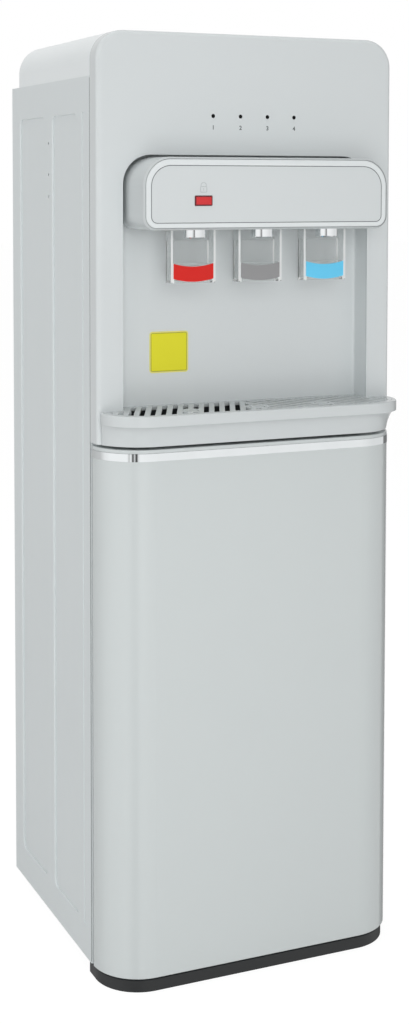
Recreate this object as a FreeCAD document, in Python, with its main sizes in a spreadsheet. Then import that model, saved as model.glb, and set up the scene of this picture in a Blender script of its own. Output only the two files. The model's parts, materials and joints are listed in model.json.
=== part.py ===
import FreeCAD, Part
import math
import os
import Sketcher

# Bottom load water cooler, front towards -Y, standing on Z = 0, millimetres.
# Every sub-part is drawn from the door's front face backwards: inside a
# sub-part Y = 0 is that face, and the placement moves it to the middle.

Vector = FreeCAD.Vector
doc = FreeCAD.newDocument("BottomLoadWaterCooler")


# ---------------------------------------------------------------- size sheet

SIZES = (
    # cabinet
    ("body_wide", 356), ("body_deep", 343), ("body_tall", 1036),
    ("sheet_thick", 1), ("side_low", 15.5), ("cap_low", 988),
    ("front_flange", 27), ("rear_flange", 15), ("flange_face", 59),
    ("bead_deep", 2), ("bead_low", 52), ("bead_high", 950),
    ("rear_bead_back", 311), ("rear_bead_front", 213.5),
    ("front_bead_back", 188), ("front_bead_front", 100.5),
    ("edge_bead_back", 84), ("edge_bead_front", 71),
    ("rivet_back", 200.5), ("rivet_low", 858), ("rivet_mid", 883), ("rivet_high", 918.5),
    ("rivet_hole", 3.6), ("plinth_tall", 13.3), ("plinth_inset", 3), ("plinth_corner", 51),
    ("plinth_deep", 76), ("plinth_wall", 3), ("foot_size", 32), ("foot_back", 310),
    ("foot_front", 105), ("foot_out", 132), ("foot_bolt", 8), ("pan_rim", 12),
    ("shelf_level", 596.5), ("shelf_rim", 14),
    # door
    ("door_low", 15.5), ("door_high", 591), ("door_deep", 54.8), ("door_corner", 54),
    ("door_wall", 2.5), ("trim_low", 578.4), ("trim_tall", 8.7), ("trim_thick", 1.9),
    ("trim_proud", 0.6), ("hinge_out", 163), ("hinge_back", 34), ("hinge_pin", 8),
    ("pin_play", 0.05), ("hinge_plate", 2.4), ("gasket_out", 162), ("gasket_wide", 8),
    ("gasket_low", 24), ("gasket_high", 584), ("gasket_tall", 3.9), ("dish_deep", 20),
    # bottle compartment
    ("liner_out", 163), ("liner_wall", 1.5), ("liner_back", 332.5), ("liner_corner", 30),
    ("bottle_size", 272), ("bottle_back", 194), ("frame_in", 148), ("frame_low", 34), ("frame_high", 574), ("frame_thick", 3),
    # front bezel and top cap
    ("bezel_face", 36.6), ("bezel_wall", 3), ("bezel_low", 594), ("top_corner", 31),
    ("bezel_round", 5), ("cap_round", 36), ("cap_wall", 2.5), ("opening_half", 148.5),
    ("opening_high", 904), ("opening_corner", 32), ("lamp_first", -43.5),
    ("lamp_pitch", 32.7), ("lamp_level", 946.5), ("lamp_size", 4.2),
    # dispensing niche
    ("niche_back", 66.5), ("niche_wall", 2), ("niche_corner", 3), ("niche_floor", 599.5),
    # tap housing
    ("housing_out", 16.5), ("housing_half", 145), ("housing_low", 824), ("housing_high", 901),
    ("housing_wall", 2.5), ("housing_top_corner", 30.5), ("housing_low_corner", 14), ("housing_clear", 12.5),
    ("housing_round", 4.5), ("rim_half", 143), ("rim_low", 826), ("rim_high", 899),
    ("panel_half", 137), ("panel_low", 831.3), ("panel_high", 892.3), ("panel_top_corner", 22.5),
    ("panel_low_corner", 7), ("panel_set", 0.6), ("button_shift", 1.5), ("button_level", 855),
    ("button_wide", 20), ("button_tall", 10.5), ("button_proud", 1.05), ("button_travel", 2.5),
    # taps
    ("tap_pitch", 79), ("tap_back", 4), ("tap_size", 25), ("tap_low", 815), ("tap_high", 844),
    ("lever_half", 26), ("lever_wall", 2.4), ("lever_low", 767), ("lever_face", 8),
    ("lever_rear", 24), ("pad_high", 788), ("spout_size", 10), ("pivot_level", 870), ("pivot_back", -3),
    ("pivot_pin", 4), ("stem_size", 4), ("stem_head", 10), ("seat_level", 829),
    ("insert_half", 23), ("insert_low", 769.3), ("insert_tall", 16.5), ("insert_sag", 2.8),
    # drip tray
    ("lip_out", 17), ("lip_half", 177), ("lip_corner", 46), ("lip_high", 629), ("lip_tall", 11.5),
    ("grille_rim", 5), ("grille_thick", 3.8), ("slot_wide", 6), ("slot_pitch", 12.4),
    ("slot_lean", 24), ("slot_first", 185.4), ("target_size", 28), ("target_back", 14), ("basin_half", 143),
    ("basin_front", 6), ("basin_back", 60), ("basin_floor", 602.2), ("basin_wall", 1.8),
    # water and cooling parts behind the niche
    ("tank_shelf_level", 801), ("cold_x", 45), ("cold_back", 205), ("cold_size", 144), ("cold_low", 826),
    ("cold_high", 958), ("coil_wire", 7), ("jacket_half", 96), ("jacket_low", 803), ("jacket_high", 972),
    ("float_size", 60), ("float_tall", 22), ("float_play", 0.4), ("hot_x", -105), ("hot_back", 150),
    ("hot_size", 100), ("hot_low", 640), ("hot_high", 786), ("foam", 12), ("drain_level", 622), ("drain_size", 20),
    ("hose_size", 10), ("hose_bore", 7), ("room_run", 95),
    ("compressor_x", 28), ("compressor_back", 245), ("compressor_size", 124), ("compressor_tall", 132),
    # parts on the rear
    ("coil_out", 26), ("grid_half", 140), ("grid_low", 330), ("grid_high", 890), ("grid_tube", 5),
    ("grid_wire", 1.5), ("grid_pitch", 10), ("switch_half", 27), ("switch_low", 905), ("switch_tall", 44),
    ("rocker_out", 12.5), ("rocker_wide", 12), ("rocker_tall", 18), ("rocker_gap", 0.5),
    # bottle probe
    ("probe_x", 134), ("probe_back", 300), ("probe_cap", 44), ("probe_tube", 11),
    ("probe_low", 110), ("probe_high", 566), ("clip_low", 296),
)


class Size:
    """A length known both as a number and as the formula that gives it."""

    def __init__(self, number, formula):
        self.number = number
        self.formula = formula

    def joined(self, sign, other, number):
        return Size(number, "(%s %s %s)" % (self.formula, sign, other.formula))

    def __add__(self, other):
        other = as_size(other)
        return self.joined("+", other, self.number + other.number)

    def __sub__(self, other):
        other = as_size(other)
        return self.joined("-", other, self.number - other.number)

    def __mul__(self, other):
        other = as_size(other)
        return self.joined("*", other, self.number * other.number)

    def __truediv__(self, other):
        other = as_size(other)
        return self.joined("/", other, self.number / other.number)

    def __radd__(self, other):
        return as_size(other) + self

    def __rsub__(self, other):
        return as_size(other) - self

    def __rmul__(self, other):
        return as_size(other) * self

    def __neg__(self):
        return as_size(0) - self


def as_size(value):
    return value if isinstance(value, Size) else Size(float(value), "%r" % float(value))


def number(value):
    return as_size(value).number


class Sheet:
    """The driving dimensions, each one a named cell."""


def make_sheet():
    cells = doc.addObject("Spreadsheet::Sheet", "Sizes")
    sizes = Sheet()
    for row, (name, value) in enumerate(SIZES, start=1):
        cells.set("A%d" % row, name)
        cells.set("B%d" % row, "%g" % value)
        cells.setAlias("B%d" % row, name)
        setattr(sizes, name, Size(float(value), "Sizes." + name))
    doc.recompute()
    return sizes


s = make_sheet()

half_wide = s.body_wide / 2
door_face = (s.lip_out - s.body_deep - s.coil_out) / 2
button_x = s.button_shift - s.tap_pitch


# ------------------------------------------------------------ drawing helpers

PLANES = {"XY": "XY_Plane", "XZ": "XZ_Plane", "YZ": "YZ_Plane"}


def bind(target, path, value):
    target.setExpression(path, as_size(value).formula)


def place(target, x=0, y=door_face, z=0):
    bind(target, "Placement.Base.x", x)
    bind(target, "Placement.Base.y", y)
    bind(target, "Placement.Base.z", z)


def new_body(label, x=0, y=door_face, z=0):
    body = doc.addObject("PartDesign::Body", label)
    body.Label = label
    place(body, x, y, z)
    return body


def corner_box(x0, x1, y0, y1, corner=0, corners=None):
    """A box outline; corners gives the radii from low left, round by low right."""
    r = corners if corners else (corner, corner, corner, corner)
    return ("loop", [(x0, y0, r[0]), (x1, y0, r[1]), (x1, y1, r[2]), (x0, y1, r[3])])


def loop(*points):
    """A closed outline; each point may carry a corner radius as a third value."""
    return ("loop", [point if len(point) == 3 else point + (0,) for point in points])


def disc(x, y, diameter):
    return ("disc", x, y, diameter)


class Sketch:
    """A sketch on one plane of a body, with every point pinned to the sheet."""

    def __init__(self, body, plane, level=0):
        self.plane = plane
        self.item = body.newObject("Sketcher::SketchObject", body.Label + "_outline")
        support = next(f for f in body.Origin.OriginFeatures if f.Role == PLANES[plane])
        self.item.AttachmentSupport = (support, [""])
        self.item.MapMode = "FlatFace"
        level = as_size(level)
        bind(self.item, "AttachmentOffset.Base.z", -level if plane == "XZ" else level)

    def hold(self, *terms):
        return self.item.addConstraint(Sketcher.Constraint(*terms))

    def pin(self, axis, geometry, end, value):
        value = as_size(value)
        if value.formula == "0.0":
            self.hold("PointOnObject", geometry, end, -1 if axis == "DistanceY" else -2)
            return
        index = self.hold(axis, -1, 1, geometry, end, value.number)
        bind(self.item, "Constraints[%d]" % index, value)

    def disc(self, x, y, diameter):
        centre = Vector(number(x), number(y), 0)
        circle = Part.Circle(centre, Vector(0, 0, 1), number(diameter) / 2)
        index = self.item.addGeometry(circle, False)
        self.pin("DistanceX", index, 3, x)
        self.pin("DistanceY", index, 3, y)
        size = self.hold("Radius", index, number(diameter) / 2)
        bind(self.item, "Constraints[%d]" % size, as_size(diameter) / 2)

    def loop(self, points):
        count = len(points)
        at = [Vector(number(x), number(y), 0) for x, y, _ in points]
        cut = [corner_reach(at[i - 1], at[i], at[(i + 1) % count], number(points[i][2]))
               for i in range(count)]
        lines = []
        for i in range(count):
            j = (i + 1) % count
            along = (at[j] - at[i]).normalize()
            start = at[i] + along * cut[i]
            end = at[j] - along * cut[j]
            lines.append(self.item.addGeometry(Part.LineSegment(start, end), False))
        level = [abs(at[(i + 1) % count].y - at[i].y) < 1e-9 for i in range(count)]
        upright = [abs(at[(i + 1) % count].x - at[i].x) < 1e-9 for i in range(count)]
        for i in range(count):
            if level[i]:
                self.hold("Horizontal", lines[i])
            if upright[i]:
                self.hold("Vertical", lines[i])
        for i in range(count):
            self.corner(lines, at, i, points[i])
        for i in range(count):
            if level[i]:
                self.pin("DistanceY", lines[i], 1, points[i][1])
            elif level[i - 1]:
                pass
            elif not upright[i] or not upright[i - 1]:
                self.pin("DistanceY", lines[i], 1, points[i][1])
            if upright[i]:
                self.pin("DistanceX", lines[i], 1, points[i][0])
            elif upright[i - 1]:
                pass
            elif not level[i] or not level[i - 1]:
                self.pin("DistanceX", lines[i], 1, points[i][0])

    def corner(self, lines, at, i, point):
        count = len(at)
        radius = number(point[2])
        before, here, after = at[i - 1], at[i], at[(i + 1) % count]
        if radius == 0:
            self.hold("Coincident", lines[i - 1], 2, lines[i], 1)
            return
        back = (before - here).normalize()
        ahead = (after - here).normalize()
        half = back.getAngle(ahead) / 2
        centre = here + (back + ahead).normalize() * (radius / math.sin(half))
        reach = radius / math.tan(half)
        first = angle_to(centre, here + back * reach)
        last = angle_to(centre, here + ahead * reach)
        left_turn = (here - before).cross(after - here).z > 0
        low, high = (first, last) if left_turn else (last, first)
        ring = Part.Circle(centre, Vector(0, 0, 1), radius)
        arc = self.item.addGeometry(Part.ArcOfCircle(ring, low, high), False)
        start, end = (1, 2) if left_turn else (2, 1)
        self.hold("Tangent", lines[i - 1], 2, arc, start)
        self.hold("Tangent", arc, end, lines[i], 1)
        index = self.hold("Radius", arc, radius)
        bind(self.item, "Constraints[%d]" % index, point[2])

    def draw(self, outlines):
        for outline in outlines:
            if outline[0] == "disc":
                self.disc(*outline[1:])
            else:
                self.loop(outline[1])
        return self


def corner_reach(before, here, after, radius):
    if radius == 0:
        return 0
    half = (before - here).getAngle(after - here) / 2
    return radius / math.tan(half)


def angle_to(centre, point):
    return math.atan2(point.y - centre.y, point.x - centre.x)


def settled(body):
    """The body's volume once everything in it is up to date."""
    doc.recompute()
    return body.Shape.Volume if body.Tip and not body.Shape.isNull() else 0


def boss(body, plane, start, stop, *outlines):
    """Adds the outlines' material from start to stop along the plane's axis."""
    sketch = Sketch(body, plane, start).draw(outlines)
    before = settled(body)
    feature = body.newObject("PartDesign::Pad", body.Label + "_pad")
    feature.Profile = sketch.item
    feature.Reversed = plane == "XZ"
    bind(feature, "Length", as_size(stop) - start)
    if settled(body) <= before:
        raise ValueError("nothing was added to " + body.Label)
    return feature


def carve(body, plane, start, stop, *outlines):
    """Removes the outlines' material from start to stop along the plane's axis."""
    sketch = Sketch(body, plane, start).draw(outlines)
    before = settled(body)
    feature = body.newObject("PartDesign::Pocket", body.Label + "_pocket")
    feature.Profile = sketch.item
    feature.Reversed = plane != "XZ"
    bind(feature, "Length", as_size(stop) - start)
    if settled(body) >= before:
        raise ValueError("nothing was cut from " + body.Label)
    return feature


def turn(body, outline):
    """Spins an outline, drawn in X and Z, about the body's own Z axis."""
    sketch = Sketch(body, "XZ").draw((outline,))
    feature = body.newObject("PartDesign::Revolution", body.Label + "_turned")
    feature.Profile = sketch.item
    feature.ReferenceAxis = (sketch.item, ["V_Axis"])
    feature.Angle = 360
    settled(body)
    return feature


def axis_of(body, role):
    return next(f for f in body.Origin.OriginFeatures if f.Role == role)


def row(body, feature, role, step, count):
    """Repeats a feature along one of the body's axes."""
    pattern = body.newObject("PartDesign::LinearPattern", body.Label + "_row")
    pattern.Originals = [feature]
    pattern.Direction = (axis_of(body, role), [""])
    pattern.Mode = "Spacing"
    bind(pattern, "Offset", step)
    pattern.Occurrences = count
    body.Tip = pattern
    settled(body)
    return pattern


def mirrored(body, feature, plane):
    """Repeats a feature on the other side of one of the body's planes."""
    copy = body.newObject("PartDesign::Mirrored", body.Label + "_mirror")
    copy.Originals = [feature]
    copy.MirrorPlane = (axis_of(body, PLANES[plane]), [""])
    body.Tip = copy
    settled(body)
    return copy


def edges_where(shape, test):
    return ["Edge%d" % (i + 1) for i, edge in enumerate(shape.Edges) if test(edge)]


def dress(body, kind, size, test):
    doc.recompute()
    base = body.Tip
    names = edges_where(base.Shape, test)
    if not names:
        raise ValueError("no edge to dress on " + body.Label)
    feature = body.newObject("PartDesign::" + kind, body.Label + "_edge")
    feature.Base = (base, names)
    bind(feature, "Radius" if kind == "Fillet" else "Size", size)
    doc.recompute()
    return feature


def soften(body, radius, test):
    return dress(body, "Fillet", radius, test)


def bevel(body, size, test):
    return dress(body, "Chamfer", size, test)


def near(value, target, slack=0.02):
    return abs(value - number(target)) < slack


def flat_at(edge, axis, target, slack=0.02):
    """True for an edge that lies wholly at one X, Y or Z."""
    box = edge.BoundBox
    low, high = {"x": (box.XMin, box.XMax), "y": (box.YMin, box.YMax), "z": (box.ZMin, box.ZMax)}[axis]
    return near(low, target, slack) and near(high, target, slack)


def solid(label, shape, x=0, y=door_face, z=0):
    """A sub-part whose shape is set directly."""
    item = doc.addObject("Part::Feature", label)
    item.Label = label
    item.Shape = shape
    place(item, x, y, z)
    return item


def bends(points, bend):
    """For each inner point: where its arc starts and ends, and the arc's centre."""
    at = [Vector(*[number(v) for v in point]) for point in points]
    found = []
    for i in range(1, len(at) - 1):
        back, ahead = at[i - 1] - at[i], at[i + 1] - at[i]
        half = back.getAngle(ahead) / 2
        reach = min(bend / math.tan(half), 0.45 * back.Length, 0.45 * ahead.Length)
        middle_way = (Vector(back).normalize() + Vector(ahead).normalize()).normalize()
        found.append((at[i] + Vector(back).normalize() * reach, at[i] + Vector(ahead).normalize() * reach,
                      at[i] + middle_way * (reach / math.cos(half))))
    return at, found


def pipe(points, diameter, bend):
    """A solid round bar along straight runs and true arcs."""
    at, arcs = bends(points, bend)
    radius = number(diameter) / 2
    starts = [at[0]] + [arc[1] for arc in arcs]
    ends = [arc[0] for arc in arcs] + [at[-1]]
    pieces = [Part.makeCylinder(radius, (end - start).Length, start, end - start)
              for start, end in zip(starts, ends)]
    for (first, last, centre), start in zip(arcs, starts):
        ring = Part.Face(Part.Wire(Part.makeCircle(radius, first, first - start)))
        axis = (first - centre).cross(last - centre)
        angle = math.degrees((first - centre).getAngle(last - centre))
        pieces.append(ring.revolve(centre, axis, angle))
    return pieces[0].fuse(pieces[1:]) if len(pieces) > 1 else pieces[0]


def hose(points, bend=30, open_ends=20):
    """A bent hose, bored at both ends as far as a nipple can enter."""
    at = bends(points, bend)[0]
    full = pipe(points, s.hose_size, bend)
    for end, inward in ((at[0], at[1]), (at[-1], at[-2])):
        full = full.cut(Part.makeCylinder(number(s.hose_bore) / 2, open_ends, end, inward - end))
    return full


def rod(diameter, length, x=0, y=0, z=0, along=(0, 0, 1)):
    return Part.makeCylinder(number(diameter) / 2, number(length),
                             Vector(number(x), number(y), number(z)), Vector(*along))


def block(x0, x1, y0, y1, z0, z1):
    low = Vector(number(x0), number(y0), number(z0))
    return Part.makeBox(number(x1) - low.x, number(y1) - low.y, number(z1) - low.z, low)


# --------------------------------------------------------------------- cabinet

def base_pan():
    """Folded steel floor that carries the panels, feet and plinth."""
    body = new_body("base_pan")
    side = half_wide - s.sheet_thick
    high = s.side_low + s.pan_rim
    boss(body, "XY", s.side_low, high,
         corner_box(-side, side, s.flange_face + s.sheet_thick, s.body_deep - s.sheet_thick, 2))
    carve(body, "XY", s.side_low + s.sheet_thick, high,
          corner_box(-side + s.sheet_thick, side - s.sheet_thick,
                     s.flange_face + 2 * s.sheet_thick, s.body_deep - 2 * s.sheet_thick, 1))
    for back in (s.foot_front, s.foot_back):
        for out in (-s.foot_out, s.foot_out):
            carve(body, "XY", s.side_low, s.side_low + s.sheet_thick, disc(out, back, s.foot_bolt))
    return body


def front_plinth():
    """Dark skirt under the door, hollow below, with a step that seats on the pan."""
    body = new_body("front_plinth")
    out = half_wide - s.plinth_inset
    inner = out - s.plinth_wall
    corner = s.plinth_corner
    boss(body, "XY", 0, s.plinth_tall,
         corner_box(-out, out, s.plinth_inset, s.plinth_deep, corners=(corner, corner, 3, 3)))
    boss(body, "XY", s.plinth_tall, s.side_low,
         corner_box(-out + 3, out - 3, s.flange_face + 2, s.plinth_deep - 2, 3))
    inside = corner - s.plinth_wall
    carve(body, "XY", 0, s.plinth_tall - s.plinth_wall,
          corner_box(-inner, inner, s.plinth_inset + s.plinth_wall, s.plinth_deep - s.plinth_wall,
                     corners=(inside, inside, 2, 2)))
    soften(body, 1.5, lambda e: flat_at(e, "z", s.plinth_tall) and not (
        e.BoundBox.YMin > number(s.flange_face) and e.BoundBox.YMax < number(s.plinth_deep) - 1))
    return body


def levelling_feet():
    """Four screw feet: a ribbed pad, a threaded stem and a nut face under the pan."""
    feet = []
    for back in (s.foot_front, s.foot_back):
        for out in (-s.foot_out, s.foot_out):
            x, y = number(out), number(back)
            pad = Part.makeCone(number(s.foot_size) / 2, number(s.foot_size) / 2 - 2.5, 7, Vector(x, y, 0))
            neck = rod(14, s.side_low - 7, x, y, 7)
            stem = rod(s.foot_bolt - 0.4, 2 * s.sheet_thick - 0.3, x, y, s.side_low)
            feet.append(pad.fuse(neck).fuse(stem).removeSplitter())
    return solid("levelling_feet", Part.makeCompound(feet))


def side_panel(label, side):
    """Steel side with folded flanges, two long pressed fields and a front edge bead."""
    body = new_body(label)
    out = half_wide * side
    skin = (half_wide - s.sheet_thick) * side
    front_in = (half_wide - s.front_flange) * side
    rear_in = (half_wide - s.rear_flange) * side
    front, rear, thick = s.flange_face, s.body_deep, s.sheet_thick
    outline = [(out, front, 2), (front_in, front, 0), (front_in, front + thick, 0), (skin, front + thick, 1),
               (skin, rear - thick, 1), (rear_in, rear - thick, 0), (rear_in, rear, 0), (out, rear, 2)]
    boss(body, "XY", s.side_low, s.cap_low, ("loop", outline if side > 0 else outline[::-1]))
    fields = ((s.front_bead_front, s.front_bead_back), (s.rear_bead_front, s.rear_bead_back))
    depth = s.bead_deep
    wall = s.sheet_thick
    low_x, high_x = (skin, skin - depth) if side > 0 else (skin, skin + depth)
    inner = [corner_box(y0, y1, s.bead_low, s.bead_high, 10) for y0, y1 in fields]
    start, stop = (high_x, low_x) if side > 0 else (low_x, high_x)
    boss(body, "YZ", start, stop, *inner)
    outer = [corner_box(y0 + wall, y1 - wall, s.bead_low + wall, s.bead_high - wall, 9) for y0, y1 in fields]
    start, stop = (out - depth, out) if side > 0 else (out, out + depth)
    carve(body, "YZ", start, stop, *outer)
    edge = corner_box(s.edge_bead_front, s.edge_bead_back, s.bead_low, s.bead_high, 3)
    start, stop = (out - 0.6, out) if side > 0 else (out, out + 0.6)
    carve(body, "YZ", start, stop, edge)
    bevel(body, 0.9, lambda e: flat_at(e, "x", out) and near_field(e, fields))
    holes = [disc(s.rivet_back, level, s.rivet_hole) for level in (s.rivet_low, s.rivet_mid, s.rivet_high)]
    start, stop = (out - 3, out) if side > 0 else (out, out + 3)
    carve(body, "YZ", start, stop, *holes)
    return body


def near_field(edge, fields):
    """True for an edge on the rim of one of the pressed fields."""
    box = edge.BoundBox
    return any(box.YMin > number(y0) and box.YMax < number(y1) for y0, y1 in fields)


def rear_panel():
    """Flat steel back with louvre slots above and below the condenser."""
    body = new_body("rear_panel")
    half = half_wide - 2
    boss(body, "XZ", s.body_deep, s.body_deep + s.sheet_thick,
         corner_box(-half, half, s.side_low + 2, s.cap_low - 2, 4))
    louvre = carve(body, "XZ", s.body_deep, s.body_deep + s.sheet_thick,
                   corner_box(-45, 45, s.grid_high + 16, s.grid_high + 21, 2.4),
                   corner_box(60, 140, s.grid_high + 16, s.grid_high + 21, 2.4))
    row(body, louvre, "Z_Axis", 11, 5)
    carve(body, "XZ", s.body_deep, s.body_deep + s.sheet_thick,
          corner_box(-s.switch_half + s.hot_x, s.hot_x + s.switch_half, s.switch_low, s.switch_low + s.switch_tall, 1.5),
          disc(s.hot_x, s.drain_level, s.drain_size + 1))
    return body


def door_frame():
    """Plastic surround of the bottle opening, between and behind the side flanges."""
    body = new_body("door_frame")
    out = half_wide - s.sheet_thick - 1.2
    between = half_wide - s.front_flange - 0.2
    face = s.flange_face
    behind = face + s.sheet_thick
    boss(body, "XZ", behind, behind + s.frame_thick,
         corner_box(-out, out, s.side_low + s.pan_rim + 0.5, s.shelf_level - 0.5, 2))
    boss(body, "XZ", face, behind,
         corner_box(-between, between, s.side_low + 0.5, s.frame_low + 2),
         corner_box(-between, between, s.frame_high - 2, s.shelf_level - 3.5))
    carve(body, "XZ", face, behind + s.frame_thick,
          corner_box(-s.frame_in, s.frame_in, s.frame_low, s.frame_high, 12))
    return body


def compartment_liner():
    """Moulded tub that lines the bottle space: floor, two sides and a rounded back."""
    body = new_body("compartment_liner")
    front = s.flange_face + s.sheet_thick + s.frame_thick
    floor = s.side_low + 2 * s.sheet_thick
    corner = s.liner_corner
    boss(body, "XY", floor, s.shelf_level - 0.5,
         corner_box(-s.liner_out, s.liner_out, front, s.liner_back, corners=(1, 1, corner, corner)))
    inner = s.liner_out - s.liner_wall
    carve(body, "XY", floor + s.liner_wall, s.shelf_level - 0.5,
          corner_box(-inner, inner, front - 5, s.liner_back - s.liner_wall,
                     corners=(0, 0, corner - s.liner_wall, corner - s.liner_wall)))
    ring = floor + s.liner_wall
    boss(body, "XY", ring, ring + 3, disc(0, s.bottle_back, s.bottle_size - 26),
         disc(0, s.bottle_back, s.bottle_size - 36))
    return body


def mid_shelf():
    """Steel shelf over the bottle space, folded up all round, with hose holes."""
    body = new_body("mid_shelf")
    side = half_wide - s.sheet_thick - s.bead_deep - 0.3
    front = s.niche_back + s.niche_wall + 2
    rear = s.body_deep - s.sheet_thick - 0.3
    high = s.shelf_level + s.shelf_rim
    boss(body, "XY", s.shelf_level, high, corner_box(-side, side, front, rear, 2))
    carve(body, "XY", s.shelf_level + s.sheet_thick, high,
          corner_box(-side + s.sheet_thick, side - s.sheet_thick, front + s.sheet_thick,
                     rear - s.sheet_thick, 1))
    carve(body, "XY", s.shelf_level, s.shelf_level + s.sheet_thick, disc(s.probe_x, s.probe_back, 13))
    return body


def top_cap():
    """Moulded lid with rounded long edges and a rounded rear edge, open below."""
    outer = new_body("top_cap_outside")
    inner = new_body("top_cap_inside")
    corner = s.top_corner
    wall = s.cap_wall
    for body, inset, low in ((outer, as_size(0), s.cap_low), (inner, wall, s.cap_low - 5)):
        side = half_wide - inset
        high = s.body_tall - inset
        boss(body, "XZ", s.flange_face + inset, s.body_deep - inset,
             corner_box(-side, side, low, high, corners=(0, 0, corner - inset, corner - inset)))
        rear = s.body_deep - inset
        soften(body, s.cap_round - inset, lambda e: flat_at(e, "y", rear) and e.BoundBox.ZMax > number(low) + 1
               and (e.BoundBox.ZMin > number(low) + 1))
    cap = doc.addObject("Part::Cut", "top_cap")
    cap.Label = "top_cap"
    cap.Base = outer
    cap.Tool = inner
    return cap


# ------------------------------------------------------------- front and niche

def arch(low):
    """The outline of the front opening."""
    corner = s.opening_corner
    return corner_box(-s.opening_half, s.opening_half, low, s.opening_high, corners=(0, 0, corner, corner))


def front_bezel():
    """Moulded front frame: rounded outline, thin walls, opening for the niche."""
    body = new_body("front_bezel")
    corner, wall = s.top_corner, s.bezel_wall
    boss(body, "XZ", s.bezel_face, s.flange_face,
         corner_box(-half_wide, half_wide, s.bezel_low, s.body_tall, corners=(0, 0, corner, corner)))
    soften(body, s.bezel_round, lambda e: flat_at(e, "y", s.bezel_face)
           and e.BoundBox.ZMax > number(s.bezel_low) + 1)
    side = half_wide - wall
    carve(body, "XZ", s.bezel_face + wall, s.flange_face,
          corner_box(-side, side, s.bezel_low + wall, s.body_tall - wall,
                     corners=(0, 0, corner - wall, corner - wall)))
    carve(body, "XZ", s.bezel_face, s.bezel_face + wall, arch(s.bezel_low + wall))
    lamps = [disc(s.lamp_first + i * s.lamp_pitch, s.lamp_level, s.lamp_size + 0.2) for i in range(4)]
    carve(body, "XZ", s.bezel_face, s.bezel_face + wall, *lamps)
    posts = [disc(s.lamp_first + i * s.lamp_pitch, level, 6)
             for i in (-0.35, 3.35) for level in (board_low + 5, board_high - 5)]
    boss(body, "XZ", s.bezel_face + wall, board_face, *posts)
    return body


board_face = s.bezel_face + s.bezel_wall + 6
board_low = s.lamp_level - 22
board_high = s.lamp_level + 18


def display_board():
    """Circuit board on four posts behind the bezel."""
    body = new_body("display_board")
    left = s.lamp_first - 0.35 * s.lamp_pitch - 5
    right = s.lamp_first + 3.35 * s.lamp_pitch + 5
    boss(body, "XZ", board_face, board_face + 1.6, corner_box(left, right, board_low, board_high, 2))
    boss(body, "XZ", board_face + 1.6, board_face + 8,
         corner_box(left + 50, left + 74, board_low + 6, board_low + 14))
    return body


def indicator_lamps():
    """Four domed lamp lenses, each on a stem that ends at the board."""
    lamps = []
    for i in range(4):
        x, z = number(s.lamp_first + i * s.lamp_pitch), number(s.lamp_level)
        stem = rod(s.lamp_size, board_face - s.bezel_face, x, s.bezel_face, z, (0, 1, 0))
        dome = Part.makeSphere(3, Vector(x, number(s.bezel_face) + 2.1, z))
        cap = dome.common(rod(s.lamp_size, 3, x, s.bezel_face - 2, z, (0, 1, 0)))
        lamps.append(stem.fuse(cap).removeSplitter())
    return solid("indicator_lamps", Part.makeCompound(lamps))


def niche_liner():
    """Moulded recess behind the opening, with rounded back corners and tap holes."""
    body = new_body("niche_liner")
    front = s.bezel_face + s.bezel_wall
    gap = s.niche_wall
    low = s.niche_floor
    outer = corner_box(-s.opening_half - gap, s.opening_half + gap, low - gap, s.opening_high + gap,
                       corners=(2, 2, s.opening_corner + gap, s.opening_corner + gap))
    boss(body, "XZ", front, s.niche_back + gap, outer)
    flange = corner_box(-s.opening_half - 12, s.opening_half + 12, low - gap + 2, s.opening_high + 12, 6)
    boss(body, "XZ", front, front + gap, flange)
    carve(body, "XZ", front, s.niche_back, arch(low))
    soften(body, s.niche_corner, lambda e: flat_at(e, "y", s.niche_back) and
           (flat_at(e, "x", s.opening_half) or flat_at(e, "x", -s.opening_half)))
    holes = [disc(x, spout_level, s.spout_size + 0.6) for x in tap_places]
    carve(body, "XZ", s.niche_back, s.niche_back + gap, *holes)
    return body


tap_places = (-s.tap_pitch, as_size(0), s.tap_pitch)
tap_names = ("hot", "room", "cold")
spout_level = s.seat_level + 5


def housing_outline(inset=0, low_more=0):
    top = s.housing_top_corner - inset
    low = s.housing_low_corner - inset
    return corner_box(-s.housing_half + inset, s.housing_half - inset,
                      s.housing_low + inset + low_more, s.housing_high - inset, corners=(low, low, top, top))


def rim_outline(play=0):
    """The bright ring's outer edge, concentric with the panel's corners."""
    half = s.rim_half - play
    top = s.panel_top_corner + s.rim_half - s.panel_half - play
    low = s.panel_low_corner + s.panel_low - s.rim_low - play
    return corner_box(-half, half, s.rim_low + play, s.rim_high - play, corners=(low, low, top, top))


def tap_housing():
    """Shell over the taps, open at the front and back, with a slot for each lever."""
    body = new_body("tap_housing")
    front, wall = -s.housing_out, s.housing_wall
    rear = s.niche_back - s.housing_clear
    boss(body, "XZ", front, rear, housing_outline())
    soften(body, s.housing_round, lambda e: flat_at(e, "y", front))
    carve(body, "XZ", front + 4, rear, housing_outline(wall))
    carve(body, "XZ", front, front + 4, rim_outline())
    slots = [corner_box(x - s.lever_half - 1.5, x + s.lever_half + 1.5, s.tap_back - s.tap_size / 2 - 2,
                        s.lever_rear + 14, 3) for x in tap_places]
    carve(body, "XY", s.housing_low - 5, s.housing_low + wall + 2, *slots)
    middle = s.tap_pitch / 2
    web = boss(body, "YZ", middle - 1, middle + 1,
               loop((front + 5.2, s.housing_low + 1.2), (s.niche_back, s.housing_low + 1.2),
                    (s.niche_back, s.housing_high - 9.5), (rear, s.housing_high - 1.2),
                    (front + 5.2, s.housing_high - 1.2)))
    mirrored(body, web, "YZ")
    return body


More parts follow.
